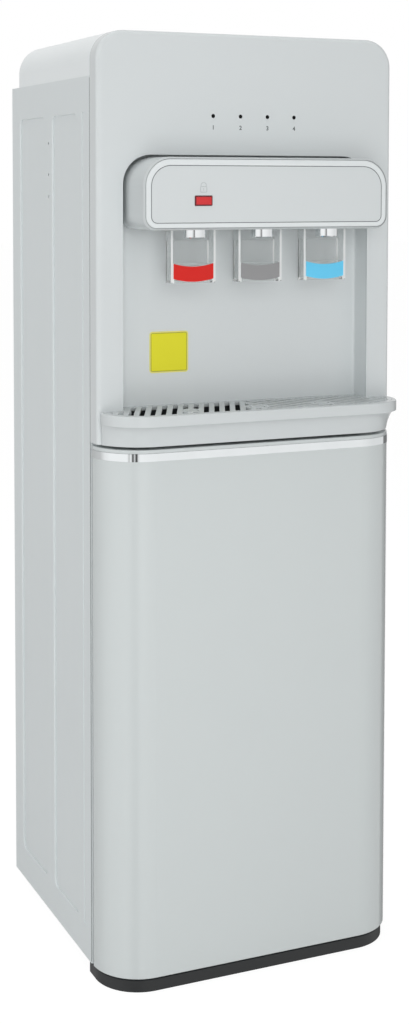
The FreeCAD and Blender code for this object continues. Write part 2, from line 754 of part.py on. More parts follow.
def housing_rim():
    """Bright ring that frames the face panel, rounded outside."""
    body = new_body("housing_rim")
    front = -s.housing_out
    boss(body, "XZ", front, front + 4, rim_outline(0.2))
    carve(body, "XZ", front, front + 4,
          corner_box(-s.panel_half, s.panel_half, s.panel_low, s.panel_high,
                     corners=(s.panel_low_corner, s.panel_low_corner, s.panel_top_corner, s.panel_top_corner)))
    soften(body, 1.6, lambda e: flat_at(e, "y", front) and off_panel(e))
    bevel(body, 0.4, lambda e: flat_at(e, "y", front) and not off_panel(e)
          and e.BoundBox.XMax < number(s.panel_half) + 0.1 and e.BoundBox.XMin > -number(s.panel_half) - 0.1
          and e.BoundBox.ZMin > number(s.panel_low) - 0.1 and e.BoundBox.ZMax < number(s.panel_high) + 0.1)
    return body


def off_panel(edge):
    """True for an edge that reaches past the face panel."""
    box = edge.BoundBox
    return (box.XMax > number(s.panel_half) + 1 or box.XMin < -number(s.panel_half) - 1
            or box.ZMax > number(s.panel_high) + 1 or box.ZMin < number(s.panel_low) - 1)


def housing_panel():
    """Flat face of the tap housing with the window of the lock button."""
    body = new_body("housing_panel")
    front = -s.housing_out + s.panel_set
    play = 0.15
    low, top = s.panel_low_corner - play, s.panel_top_corner - play
    boss(body, "XZ", front, front + 2.4,
         corner_box(-s.panel_half + play, s.panel_half - play, s.panel_low + play, s.panel_high - play,
                    corners=(low, low, top, top)))
    carve(body, "XZ", front, front + 2.4, button_outline(0.3))
    boss(body, "XZ", front + 2.4, front + 3.9, corner_box(
        -s.panel_half + 14, s.panel_half - 14, s.panel_low + 8, s.panel_high - 8, 4))
    boss(body, "XZ", front + 3.9, spring_seat + 1.5, button_outline(4.5))
    carve(body, "XZ", front + 2.4, spring_seat, button_outline(2.6))
    carve(body, "XZ", spring_seat, spring_seat + 1.5, disc(button_x, s.button_level, button_stem + 0.6))
    return body


def button_outline(grow=0):
    half, tall = s.button_wide / 2 + grow, s.button_tall / 2 + grow
    return corner_box(button_x - half, button_x + half, s.button_level - tall, s.button_level + tall, 1.2)


button_back = -s.housing_out + s.panel_set + 2.4
button_stem = 5
collar_back = button_back + 1.8
spring_seat = collar_back + 5


def lock_button():
    """Push button of the hot tap lock: dished face, a collar behind the panel and a guide stem."""
    body = new_body("lock_button")
    front = -s.housing_out + s.panel_set - s.button_proud
    boss(body, "XZ", front, button_back + 0.3, button_outline())
    boss(body, "XZ", button_back + 0.3, collar_back, button_outline(1.8))
    boss(body, "XZ", collar_back, spring_seat + 2.5, disc(button_x, s.button_level, button_stem))
    bevel(body, 0.4, lambda e: flat_at(e, "y", front))
    carve(body, "XZ", front, front + 0.5, button_outline(-2))
    return body


def lock_spring():
    """Short return spring between the button's collar and the panel's cage."""
    body = new_body("lock_spring")
    boss(body, "XZ", collar_back, spring_seat, disc(button_x, s.button_level, button_stem + 3.4))
    carve(body, "XZ", collar_back, spring_seat, disc(button_x, s.button_level, button_stem + 0.8))
    return body


# ------------------------------------------------------------------------ taps

pivot_y = s.pivot_back - s.tap_back
bar_low = s.pivot_level - 2
bar_high = s.pivot_level + 1
ear_out = 9


def tap_body(name, x):
    """Tap: water chamber over a wide spout, rear pipe, and two ears with the lever's pins."""
    body = new_body(name + "_tap_body", x, door_face + s.tap_back)
    out = s.tap_size / 2
    bore = s.stem_size / 2 + s.pin_play
    roof = s.tap_high - 4
    turn(body, loop((4.5, s.tap_low), (out - 1, s.tap_low), (out, s.tap_low + 1), (out, s.tap_low + 11),
                    (out - 1, s.tap_low + 12), (out - 1, s.tap_high), (bore, s.tap_high), (bore, roof),
                    (7.5, roof), (7.5, s.seat_level), (4.5, s.seat_level)))
    ear = boss(body, "YZ", ear_out - 2.5, ear_out,
               corner_box(pivot_y - 2, pivot_y + 2.5, s.tap_high - 1, s.pivot_level + 3))
    mirrored(body, ear, "YZ")
    pin = boss(body, "YZ", ear_out, s.lever_half + 1, disc(pivot_y, s.pivot_level, s.pivot_pin))
    mirrored(body, pin, "YZ")
    end = s.niche_back + 14 - s.tap_back
    boss(body, "XZ", 9, end, disc(0, spout_level, s.spout_size))
    carve(body, "XZ", 5, end, disc(0, spout_level, s.spout_size - 3))
    return body


def lever(name, x):
    """Clear lever: two side arms, a closed pad at the cup and a bar under the stem's head."""
    body = new_body(name + "_lever", x, door_face + s.tap_back)
    inner = s.lever_half - s.lever_wall
    face, rear = s.lever_face - s.tap_back, s.lever_rear - s.tap_back
    high = s.pivot_level + 6
    arm = boss(body, "YZ", inner, s.lever_half,
               loop((face, s.lever_low, 2), (rear, s.lever_low, 2), (rear, high - 16, 5), (rear - 12, high, 3),
                    (pivot_y - 5, high, 3), (pivot_y - 5, high - 14, 3), (face, high - 26, 5)))
    mirrored(body, arm, "YZ")
    inner = inner + 0.5
    boss(body, "XZ", face, face + s.lever_wall, corner_box(-inner, inner, s.lever_low, s.pad_high, 0.5))
    boss(body, "XZ", rear - s.lever_wall, rear, corner_box(-inner, inner, s.lever_low, s.tap_low - 3, 0.5))
    boss(body, "XY", s.lever_low, s.lever_low + s.lever_wall, corner_box(-inner, inner, face + 1, rear - 1))
    boss(body, "XY", bar_low, bar_high, corner_box(-inner, inner, -4, 3))
    slot = s.stem_size / 2 + 0.5
    carve(body, "XY", bar_low, bar_high, corner_box(-slot, slot, -slot - 0.1, 4.5))
    hole = carve(body, "YZ", inner - 2, s.lever_half, disc(pivot_y, s.pivot_level, s.pivot_pin + 2 * s.pin_play))
    mirrored(body, hole, "YZ")
    return body


def lever_insert(name, x):
    """Coloured plate on the pad, with the upper and lower edges bowed down."""
    half = number(s.insert_half)
    low, high, sag = number(s.insert_low), number(s.insert_low + s.insert_tall), number(s.insert_sag)
    y = number(s.lever_face) - 1
    left_low, right_low = Vector(-half, y, low + sag), Vector(half, y, low + sag)
    left_high, right_high = Vector(-half, y, high), Vector(half, y, high)
    edges = [Part.Arc(left_low, Vector(0, y, low), right_low).toShape(),
             Part.LineSegment(right_low, right_high).toShape(),
             Part.Arc(right_high, Vector(0, y, high - sag), left_high).toShape(),
             Part.LineSegment(left_high, left_low).toShape()]
    plate = Part.Face(Part.Wire(edges)).extrude(Vector(0, 1, 0))
    return solid(name + "_lever_insert", plate, x)


def valve_stem(name, x):
    """Stem with a soft plug on the seat below and a head above the lever's bar."""
    body = new_body(name + "_valve_stem", x, door_face + s.tap_back)
    rod_half = s.stem_size / 2
    plug_low, plug_high = s.seat_level + 0.05, s.seat_level + 6
    head_low = bar_high + 0.15
    turn(body, loop((0, plug_low), (6, plug_low), (6, plug_high - 1.5), (4, plug_high), (rod_half, plug_high),
                    (rod_half, head_low), (s.stem_head / 2, head_low), (s.stem_head / 2, head_low + 2),
                    (0, head_low + 3)))
    return body


# ------------------------------------------------------------------- drip tray

def front_outline(half, front, rear, corner):
    return corner_box(-half, half, front, rear, corners=(corner, corner, 0, 0))


def outline_wire(half, front, rear, corner, z):
    """The same bowed outline as a wire, for the flared wall under the lip."""
    turn_in = corner * (1 - math.sqrt(0.5))
    low_left, low_right = Vector(-half, front + corner, z), Vector(half, front + corner, z)
    edges = [Part.LineSegment(Vector(-half, rear, z), low_left).toShape(),
             Part.Arc(low_left, Vector(-half + turn_in, front + turn_in, z),
                      Vector(-half + corner, front, z)).toShape(),
             Part.LineSegment(Vector(-half + corner, front, z), Vector(half - corner, front, z)).toShape(),
             Part.Arc(Vector(half - corner, front, z), Vector(half - turn_in, front + turn_in, z),
                      low_right).toShape(),
             Part.LineSegment(low_right, Vector(half, rear, z)).toShape(),
             Part.LineSegment(Vector(half, rear, z), Vector(-half, rear, z)).toShape()]
    return Part.Wire(edges)


def flared_wall():
    """The hollow curve that carries the door's outline up and out to the lip."""
    low, high = number(s.bezel_low), number(s.lip_high - s.lip_tall)
    reach = number(s.lip_out) - 4
    rear = number(s.flange_face) + 6
    wires = []
    for step in range(6):
        up = step / 5
        out = 1 - math.sqrt(1 - up ** 2 * 0.96) if step else 0
        half = number(half_wide) - 0.6 - up * 1.4
        corner = number(s.door_corner) - up * (number(s.door_corner) - number(s.lip_corner) + 4)
        wires.append(outline_wire(half, 0.4 - reach * out * 1.25, rear, corner, low + up * (high - low)))
    return solid("tray_shelf_flare", Part.makeLoft(wires, True, False), 0, 0)


def grille_outline(play=0):
    """T-shaped seat of the grille: wide in front of the bezel, narrow inside the niche."""
    out, inner = s.lip_half - s.grille_rim - play, s.opening_half - 2.8 - play
    front, step, rear = -s.lip_out + s.grille_rim + play, s.bezel_face - 1.2 - play, s.niche_back - 2.5 - play
    corner = s.lip_corner - s.grille_rim - play
    return loop((-out, front, corner), (out, front, corner), (out, step), (inner, step), (inner, rear, 2),
                (-inner, rear, 2), (-inner, step), (-out, step))


def tray_shelf():
    """Projecting shelf: flared wall, lip drawn in to the bezel's flat, seat for the grille, well for the basin."""
    lip = new_body("tray_shelf_lip", 0, 0)
    high, low = s.lip_high, s.lip_high - s.lip_tall
    boss(lip, "XY", low, high,
         front_outline(s.lip_half, -s.lip_out, s.flange_face + 6, s.lip_corner))
    soften(lip, 1.6, lambda e: flat_at(e, "z", high) and e.BoundBox.YMin < number(s.flange_face))
    trim = new_body("tray_shelf_room", 0, 0)
    out, flat, start = half_wide + 20, half_wide - s.bezel_round - 0.5, s.bezel_face - 11
    boss(trim, "XY", s.bezel_low - 5, high + 5,
         loop((-out, start), (-half_wide, start), (-flat, s.bezel_face), (flat, s.bezel_face), (half_wide, start),
              (out, start), (out, s.flange_face + 20), (-out, s.flange_face + 20)))
    inner = new_body("tray_shelf_inner", 0, 0)
    boss(inner, "XY", s.niche_floor + 0.2, high,
         corner_box(-s.opening_half + 0.3, s.opening_half - 0.3, s.bezel_face - 1, s.niche_back - 0.3,
                    corners=(0, 0, s.niche_corner - 0.3, s.niche_corner - 0.3)))
    hollow = new_body("tray_shelf_hollow", 0, 0)
    seat = high - s.grille_thick
    boss(hollow, "XY", seat, high + 3, grille_outline())
    boss(hollow, "XY", s.basin_floor - 0.4, seat,
         corner_box(-s.basin_half - 0.6, s.basin_half + 0.6, s.basin_front - 0.6, s.basin_back + 0.6, 3.6))
    front = doc.addObject("Part::MultiFuse", "tray_shelf_front")
    front.Shapes = [lip, flared_wall()]
    cut = doc.addObject("Part::Cut", "tray_shelf_trimmed")
    cut.Base, cut.Tool = front, trim
    whole = doc.addObject("Part::MultiFuse", "tray_shelf_whole")
    whole.Shapes = [cut, inner]
    shelf = doc.addObject("Part::Cut", "tray_shelf")
    shelf.Base, shelf.Tool = whole, hollow
    shelf.Label = "tray_shelf"
    place(shelf)
    return shelf


def drip_basin():
    """Lift-out basin under the grille."""
    body = new_body("drip_basin")
    half, wall = s.basin_half, s.basin_wall
    high = s.lip_high - s.grille_thick - 0.4
    boss(body, "XY", s.basin_floor, high, corner_box(-half, half, s.basin_front, s.basin_back, 3))
    carve(body, "XY", s.basin_floor + wall, high,
          corner_box(-half + wall, half - wall, s.basin_front + wall, s.basin_back - wall, 3 - wall))
    return body


def slot_lean():
    """Sideways run of a slot for each millimetre of depth."""
    return Size(math.tan(math.radians(number(s.slot_lean))), "tan(%s * 1 deg)" % s.slot_lean.formula)


def part_of(kind, label, base, tool):
    """Cut or Common of two pieces, as a piece of its own."""
    result = doc.addObject("Part::" + kind, label)
    result.Base, result.Tool = base, tool
    result.Label = label
    doc.recompute()
    if result.Shape.Volume <= 0 or result.Shape.Volume >= base.Shape.Volume:
        raise ValueError("nothing was changed on " + label)
    return result


def drip_grille():
    """Grille whose slots lean towards the middle from both sides, with three cup targets."""
    low, high = s.lip_high - s.grille_thick + 0.2, s.lip_high
    play, bar = 0.4, 4
    plate = new_body("drip_grille_plate", 0, 0)
    boss(plate, "XY", low, high, grille_outline(play))
    out, inner = s.lip_half - s.grille_rim - play - bar, s.opening_half - 2.8 - play - bar
    front, step, rear = (bar + play - s.lip_out + s.grille_rim, s.bezel_face - 1.2 - play - bar,
                         s.niche_back - 2.5 - play - bar)
    shift = (rear - front) * slot_lean()
    slots = new_body("drip_grille_slots", 0, 0)
    first = -s.slot_first
    slot = boss(slots, "XY", low - 1, high + 1, loop((first, front - 1), (first + s.slot_wide, front - 1),
                                                     (first + s.slot_wide + shift, rear), (first + shift, rear)))
    row(slots, slot, "X_Axis", s.slot_pitch, 15)
    field = new_body("drip_grille_field", 0, 0)
    targets = [disc(x, s.target_back, s.target_size) for x in (-s.tap_pitch, as_size(0))]
    boss(field, "XY", low - 2, high + 2,
         loop((-out, front, s.lip_corner - s.grille_rim - play - bar), (-bar / 2, front), (-bar / 2, rear - 0.5),
              (-inner, rear - 0.5), (-inner, step), (-out, step)))
    carve(field, "XY", low - 2, high + 2, *targets)
    windows = part_of("Common", "drip_grille_windows", slots, field)
    others = doc.addObject("Part::Mirroring", "drip_grille_other_windows")
    others.Source = windows
    others.Normal = Vector(1, 0, 0)
    left = part_of("Cut", "drip_grille_left", plate, windows)
    both = part_of("Cut", "drip_grille_both", left, others)
    rings = new_body("drip_grille_rings", 0, 0)
    for x in tap_places:
        boss(rings, "XY", high - 0.9, high + 1, disc(x, s.target_back, 18), disc(x, s.target_back, 14))
    grille = part_of("Cut", "drip_grille", both, rings)
    place(grille)
    return grille


# ------------------------------------------------------------------------ door

liner_face = s.door_deep
trim_rear = s.door_deep - 1.8


def band_outline(outer, inner):
    """A band round the front and both sides of the door, open at the rear."""
    rear = s.door_deep + 2
    out, back = half_wide + outer, half_wide - inner
    far, close = s.door_corner + outer, s.door_corner - inner
    return loop((-out, -outer, far), (out, -outer, far), (out, rear), (back, rear), (back, inner, close),
                (-back, inner, close), (-back, rear), (-out, rear))


def door_shell():
    """Moulded door skin, bowed at both front corners, hollow behind, with two pin bores."""
    body = new_body("door_shell")
    low, high, wall, corner = s.door_low, s.door_high, s.door_wall, s.door_corner
    boss(body, "XY", low, high, front_outline(half_wide, 0, s.door_deep, corner))
    soften(body, 3, lambda e: flat_at(e, "y", s.door_deep) and (flat_at(e, "x", half_wide)
                                                                or flat_at(e, "x", -half_wide)))
    soften(body, 1.2, lambda e: (flat_at(e, "z", high) or flat_at(e, "z", low))
           and e.BoundBox.YMin < 1)
    inside = half_wide - wall
    carve(body, "XY", low + wall, high - wall,
          corner_box(-inside, inside, wall, s.door_deep, corners=(corner - wall, corner - wall, 0, 0)))
    carve(body, "XY", s.trim_low, s.trim_low + s.trim_tall, band_outline(2, s.trim_thick - s.trim_proud))
    hinge = disc(s.hinge_out, s.hinge_back, s.hinge_pin + 10)
    bore = disc(s.hinge_out, s.hinge_back, s.hinge_pin + 2 * s.pin_play)
    boss(body, "XY", low + wall, low + 19, hinge)
    boss(body, "XY", high - 19, high - wall, hinge)
    carve(body, "XY", low, low + 17.5, bore)
    carve(body, "XY", high - 17.5, high, bore)
    return body


def door_liner():
    """Inner door panel with a wide shallow dish."""
    body = new_body("door_liner")
    wall = 2.2
    half, low, high = half_wide - s.door_wall - 0.2, s.door_low + s.door_wall + 0.2, s.door_high - s.door_wall - 0.2
    dish_half, dish_low, dish_high = s.frame_in - 10, s.frame_low + 26, s.frame_high - 24
    boss(body, "XZ", liner_face - wall, liner_face, corner_box(-half, half, low, high, 1))
    boss(body, "XZ", liner_face - s.dish_deep, liner_face - wall,
         corner_box(-dish_half, dish_half, dish_low, dish_high, 22))
    carve(body, "XZ", liner_face - s.dish_deep + wall, liner_face,
          corner_box(-dish_half + wall, dish_half - wall, dish_low + wall, dish_high - wall, 22 - wall))
    return body


def door_trim():
    """Glossy band near the door's top edge, clipped into a groove."""
    body = new_body("door_trim")
    boss(body, "XY", s.trim_low + 0.1, s.trim_low + s.trim_tall - 0.1,
         band_outline(s.trim_proud, s.trim_thick - s.trim_proud - 0.1))
    carve(body, "XY", s.trim_low, s.trim_low + s.trim_tall,
          corner_box(-half_wide - 5, half_wide + 5, trim_rear, s.door_deep + 5))
    return body


def door_gasket():
    """Soft ring round the bottle opening."""
    body = new_body("door_gasket")
    out, wide = s.gasket_out, s.gasket_wide
    boss(body, "XZ", liner_face, liner_face + s.gasket_tall,
         corner_box(-out, out, s.gasket_low, s.gasket_high, 12),
         corner_box(-out + wide, out - wide, s.gasket_low + wide, s.gasket_high - wide, 8))
    return body


def top_hinge():
    """Plate between the door and the bezel, with a pin down into the door."""
    body = new_body("top_hinge")
    x, y = s.hinge_out, s.hinge_back
    low = s.door_high + 0.3
    boss(body, "XY", low, low + s.hinge_plate,
         corner_box(x - 28, x + 8, y - 7, s.flange_face, corners=(4, 7, 0, 0)))
    boss(body, "XY", s.door_high - 16, low, disc(x, y, s.hinge_pin))
    return body


def bottom_hinge():
    """Plate on the plinth with a pin up into the door."""
    body = new_body("bottom_hinge")
    x, y = s.hinge_out, s.hinge_back
    boss(body, "XY", s.plinth_tall, s.plinth_tall + 1.6, corner_box(x - 33, x + 5, y - 4.5, s.flange_face, 3))
    boss(body, "XY", s.plinth_tall + 1.6, s.door_low + 16, disc(x, y, s.hinge_pin))
    return body


# ------------------------------------------------------------ tanks and pipes

shelf_top = s.shelf_level + s.sheet_thick
outlet_back = s.cold_back - 60
outlet_front = s.room_run + 10


def tank_shelf():
    """Steel shelf under the cold tank, folded down all round."""
    body = new_body("tank_shelf")
    side = half_wide - s.sheet_thick - s.bead_deep - 0.3
    front, rear = s.niche_back + s.niche_wall + 2, s.body_deep - s.sheet_thick - 0.3
    high, thick = s.tank_shelf_level + s.sheet_thick, s.sheet_thick
    boss(body, "XY", high - 15, high, corner_box(-side, side, front, rear, 2))
    carve(body, "XY", high - 15, high - thick,
          corner_box(-side + thick, side - thick, front + thick, rear - thick, 1))
    carve(body, "XY", high - thick, high, disc(0, s.room_run, s.hose_size + 4),
          disc(s.hot_x, s.hot_back, s.hose_size + 8))
    return body


def cold_tank():
    """Stainless cold water tank, open above, with the outlet pipe low at the front."""
    body = new_body("cold_tank", s.cold_x, door_face + s.cold_back)
    out, wall, low, high = s.cold_size / 2, 1.2, s.cold_low, s.cold_high
    turn(body, loop((0, low), (out - 3, low), (out, low + 3), (out, high), (out - wall, high),
                    (out - wall, low + 3.5), (out - 3.5, low + wall), (0, low + wall)))
    x = s.tap_pitch - s.cold_x
    boss(body, "XZ", outlet_front - s.cold_back, outlet_back - s.cold_back, disc(x, spout_level, 8))
    carve(body, "XZ", outlet_front - s.cold_back, outlet_back - s.cold_back + 5, disc(x, spout_level, 6))
    return body


def cold_tank_lid():
    """Lid with a central rod that guides the float and stops it below."""
    body = new_body("cold_tank_lid", s.cold_x, door_face + s.cold_back)
    out, high, rod_half = s.cold_size / 2, s.cold_high, 3
    stop = s.cold_low + 62
    turn(body, loop((0, stop), (6, stop), (6, stop + 3), (rod_half, stop + 3), (rod_half, high), (out, high),
                    (out, high + 3), (out - 1, high + 4), (30, high + 4), (26, high + 9), (0, high + 9)))
    return body


def tank_float():
    """Ring float of the level switch, low on its rod."""
    body = new_body("tank_float", s.cold_x, door_face + s.cold_back)
    low = s.cold_low + 65.3
    bore, out = 3 + s.float_play, s.float_size / 2
    high = low + s.float_tall
    turn(body, loop((bore, low), (out - 4, low), (out, low + 4), (out, high - 4), (out - 4, high), (bore, high)))
    return body


def cold_tank_jacket():
    """Foam block with a round well for the tank and its coil."""
    body = new_body("cold_tank_jacket", s.cold_x, door_face + s.cold_back)
    half = s.jacket_half
    boss(body, "XY", s.jacket_low - 1, s.jacket_high, corner_box(-half, half, -half, half, 12))
    carve(body, "XY", s.cold_low, s.jacket_high, disc(0, 0, s.cold_size + 2 * s.coil_wire + 2))
    carve(body, "XZ", -half, 5 - half / 2, disc(s.tap_pitch - s.cold_x, spout_level, 8.6))
    return body


def evaporator_coil():
    """Flat turns of the cooling coil on the tank, as one ribbed sleeve."""
    body = new_body("evaporator_coil", s.cold_x, door_face + s.cold_back)
    inner, wire = s.cold_size / 2 + 0.3, s.coil_wire
    low = s.cold_low + 24
    points = [(inner, low)]
    for i in range(5):
        level = low + 15 * i
        points += [(inner + wire, level), (inner + wire, level + wire), (inner + 1, level + wire),
                   (inner + 1, level + 15)]
    points = points[:-2] + [(inner, points[-2][1])]
    turn(body, loop(*points))
    return body


def hot_tank():
    """Heated tank with an outlet above and a drain pipe that runs to the rear."""
    body = new_body("hot_tank", s.hot_x, door_face + s.hot_back)
    out, wall, low, high = s.hot_size / 2, 1.5, s.hot_low, s.hot_high
    turn(body, loop((0, low), (out - 7, low), (out, low + 7), (out, high - 7), (out - 7, high), (4.5, high),
                    (4.5, high + s.foam), (3, high + s.foam), (3, high - wall), (out - 7.6, high - wall),
                    (out - wall, high - 7.6), (out - wall, low + 7.6), (out - 7.6, low + wall), (0, low + wall)))
    boss(body, "XY", s.drain_level - 7, low + 0.5, disc(0, 0, 14))
    boss(body, "XZ", 0, s.body_deep - 6 - s.hot_back, disc(0, s.drain_level, 10))
    carve(body, "XY", s.drain_level, low + wall, disc(0, 0, 6))
    carve(body, "XZ", 0, s.body_deep - 6 - s.hot_back, disc(0, s.drain_level, 7))
    return body


def hot_tank_jacket():
    """Insulating drum that stands on the shelf and holds the hot tank."""
    body = new_body("hot_tank_jacket", s.hot_x, door_face + s.hot_back)
    out, bore = s.hot_size / 2 + s.foam, s.hot_size / 2 + 0.3
    boss(body, "XY", shelf_top, s.hot_high + s.foam - 1, disc(0, 0, 2 * out))
    carve(body, "XY", s.hot_low, s.hot_high + s.foam - 1, disc(0, 0, 2 * bore))
    carve(body, "XY", s.drain_level - 8, s.hot_low, disc(0, 0, 15))
    carve(body, "XZ", 0, out, disc(0, s.drain_level, 11))
    return body


def compressor():
    """Sealed compressor shell on a foot plate with four rubber mounts and its pipe stubs."""
    body = new_body("compressor", s.compressor_x, door_face + s.compressor_back)
    out, foot = s.compressor_size / 2, shelf_top + 11
    high = foot + s.compressor_tall
    turn(body, loop((0, foot), (out - 14, foot), (out - 4, foot + 14), (out - 2, foot + 26), (out - 2, foot + 62),
                    (out, foot + 64), (out, foot + 70), (out - 2, foot + 72), (out - 3, high - 36),
                    (out - 10, high - 21), (out - 24, high - 7), (out - 42, high), (0, high)))
    boss(body, "XY", foot - 3, foot + 1, corner_box(-72, 72, -46, 46, 14))
    mounts = [disc(x, y, 20) for x in (-58, 58) for y in (-32, 32)]
    boss(body, "XY", shelf_top, foot + 3, *mounts)
    boss(body, "XZ", -out - 10, -out + 12, corner_box(-22, 22, foot + 66, foot + 104, 6))
    return body


def water_pump():
    """Pump head with its motor above, an inlet below and an outlet at the front."""
    body = new_body("water_pump", s.probe_x, door_face + s.probe_back)
    boss(body, "XY", shelf_top, shelf_top + 30, corner_box(-26, 26, -28, 28, 6))
    boss(body, "XY", shelf_top + 30, shelf_top + 74, disc(0, 0, 42))
    bevel(body, 3, lambda e: flat_at(e, "z", shelf_top + 74))
    boss(body, "XY", shelf_top - 8, shelf_top, disc(0, 0, s.hose_bore - 0.4))
    boss(body, "XZ", -46, -28, disc(0, shelf_top + 15, s.hose_bore - 0.4))
    return body


def suction_hose():
    """Hose from the probe's nipple up through the shelf to the pump."""
    low = number(s.probe_high) + 0.3
    top = number(s.shelf_level) + 0.7
    x, y = number(s.probe_x), number(s.probe_back)
    outside = rod(s.hose_size, top - low, x, y, low)
    inside = rod(s.hose_bore, top - low, x, y, low)
    return solid("suction_hose", outside.cut(inside))


def tap_hoses():
    """Three hoses: hot tank, pump and cold tank to the pipes of the taps."""
    start = number(s.niche_back) + 14.1
    level, hot_top = spout_level, s.hot_high + s.foam + 0.1
    hot_x, run = s.hot_x, s.room_run
    hot = ((-s.tap_pitch, start, level), (-s.tap_pitch, start + 32, level), (hot_x, s.hot_back, level - 2),
           (hot_x, s.hot_back, hot_top))
    pump_level = shelf_top + 15
    room = ((0, start, level), (0, run, level), (0, run, level - 140),
            (60, run + 10, pump_level + 25), (s.probe_x - 10, run + 50, pump_level + 4),
            (s.probe_x, s.probe_back - 100, pump_level), (s.probe_x, s.probe_back - 28.2, pump_level))
    cold = ((s.tap_pitch, start, level), (s.tap_pitch, outlet_front - 0.1, level))
    return solid("tap_hoses", Part.makeCompound([hose(route) for route in (hot, room, cold)]))


# --------------------------------------------------------------- bottle probe

def bottle_probe():
    """Probe cap with a grip rim, a long tube below and a hose nipple above."""
    body = new_body("bottle_probe", s.probe_x, door_face + s.probe_back)
    cap, low, high = s.probe_cap / 2, s.probe_low, s.probe_high
    tube_half = s.probe_tube / 2
    nipple = (s.hose_bore - 0.4) / 2
    turn(body, loop((2, low), (tube_half, low), (tube_half, high - 36), (cap - 3, high - 36), (cap - 3, high - 12),
                    (cap, high - 10), (cap, high - 4), (cap - 8, high), (nipple, high), (nipple, high + 10),
                    (2, high + 10)))
    return body


def probe_clip():
    """Bracket on the liner's back with an open ring that keeps the probe upright."""
    body = new_body("probe_clip", s.probe_x, door_face + s.probe_back)
    ring = s.probe_tube / 2 + 0.3
    back = s.liner_back - s.liner_wall - s.probe_back
    boss(body, "XY", s.clip_low, s.clip_low + 16, corner_box(-9, 9, -3, 9, 1))
    boss(body, "XY", s.clip_low, s.clip_low + 16, corner_box(-9, -2, 8, back))
    carve(body, "XY", s.clip_low, s.clip_low + 16, disc(0, 0, 2 * ring))
    return body


# ------------------------------------------------------------------------ rear

panel_rear = s.body_deep + s.sheet_thick


def condenser():
    """Serpentine tube between two rows of upright wires, on six stand-off blocks."""
    rear = number(s.body_deep + s.coil_out)
    wire, bore = number(s.grid_wire), number(s.grid_tube)
    middle = rear - wire - 0.05 - bore / 2
    half, low, high = number(s.grid_half), number(s.grid_low), number(s.grid_high)
    runs, bend = 7, 26
    step = (high - low - 40) / (runs - 1)
    points = []
    for i in range(runs):
        level = low + 20 + i * step
        ends = (half, -half) if i % 2 else (-half, half)
        points += [(ends[0], middle, level), (ends[1], middle, level)]
    pieces = [pipe(points, bore, bend)]
    count = int(2 * (half - 20) // number(s.grid_pitch)) + 1
    pitch = 2 * (half - 20) / (count - 1)
    for front in (rear - wire, middle - bore / 2 - 0.05 - wire):
        for i in range(count):
            x = 20 - half + i * pitch
            pieces.append(block(x - wire / 2, x + wire / 2, front, front + wire, low, high))
    panel = number(panel_rear)
    for i in (0, 3, 6):
        level = low + 20 + i * step
        for x in (10 - half, half - 10):
            pieces.append(block(x - 6, x + 6, panel, middle - bore / 2 - 0.05, level - 8, level + 8))
    return solid("condenser", Part.makeCompound(pieces))


rocker_level = s.switch_low + s.switch_tall - 15
rocker_axis = panel_rear - 1.5


def switch_block():
    """Rear switch plate: openings for two rockers above a three-pin supply inlet."""
    body = new_body("switch_block", s.hot_x)
    half, low, high = s.switch_half, s.switch_low, s.switch_low + s.switch_tall
    rear = panel_rear + 2
    boss(body, "XZ", s.body_deep - 18, panel_rear, corner_box(-half + 0.3, half - 0.3, low + 0.3, high - 0.3, 1.2))
    boss(body, "XZ", panel_rear, rear, corner_box(-half - 3, half + 3, low - 3, high + 3, 3))
    wide, tall = s.rocker_wide / 2 + s.rocker_gap, s.rocker_tall / 2 + s.rocker_gap
    for x in (-s.rocker_out, s.rocker_out):
        carve(body, "XZ", s.body_deep - 14, rear,
              corner_box(x - wide, x + wide, rocker_level - tall, rocker_level + tall, 0.5))
    carve(body, "XZ", s.body_deep - 14, rear,
          loop((-12, low + 4), (12, low + 4), (12, low + 13), (9, low + 17), (-9, low + 17), (-12, low + 13)))
    boss(body, "XZ", s.body_deep - 15, panel_rear - 4, *[corner_box(x - 1, x + 1, z - 2, z + 2)
                                                         for x, z in ((-7, low + 9), (0, low + 12), (7, low + 9))])
    pins = [disc(rocker_axis, rocker_level, 2)]
    for x in (-s.rocker_out, s.rocker_out):
        for side in (-1, 1):
            start = x + side * wide
            boss(body, "YZ", start if side < 0 else start - 1.5, start + 1.5 if side < 0 else start, *pins)
    return body


def switch_rocker(label, x):
    """Rocker with a shallow V face, sockets for its two trunnion pins and a rounded back."""
    body = new_body(label, s.hot_x + x)
    half, tall = s.rocker_wide / 2, s.rocker_tall / 2
    y, z = rocker_axis, rocker_level
    boss(body, "YZ", -half, half,
         loop((y - 9, z - 2.5, 1), (y - 5, z - tall + 2, 2), (y + 4.5, z - tall + 0.6), (y + 2.8, z),
              (y + 4.5, z + tall - 0.6), (y - 5, z + tall - 2, 2), (y - 9, z + 2.5, 1)))
    hole = disc(y, z, 2 + 2 * s.pin_play)
    first = carve(body, "YZ", half - 1.3, half, hole)
    mirrored(body, first, "YZ")
    return body


def drain_plug():
    """Screw cap on the end of the hot tank's drain pipe, through the rear panel."""
    body = new_body("drain_plug", s.hot_x)
    start = s.body_deep - 6
    boss(body, "XZ", start, panel_rear, disc(0, s.drain_level, s.drain_size))
    boss(body, "XZ", panel_rear, panel_rear + 8, disc(0, s.drain_level, s.drain_size + 10))
    bevel(body, 1.2, lambda e: flat_at(e, "y", panel_rear + 8))
    boss(body, "XZ", panel_rear + 8, panel_rear + 13, corner_box(-2, 2, s.drain_level - 12, s.drain_level + 12, 1))
    return body


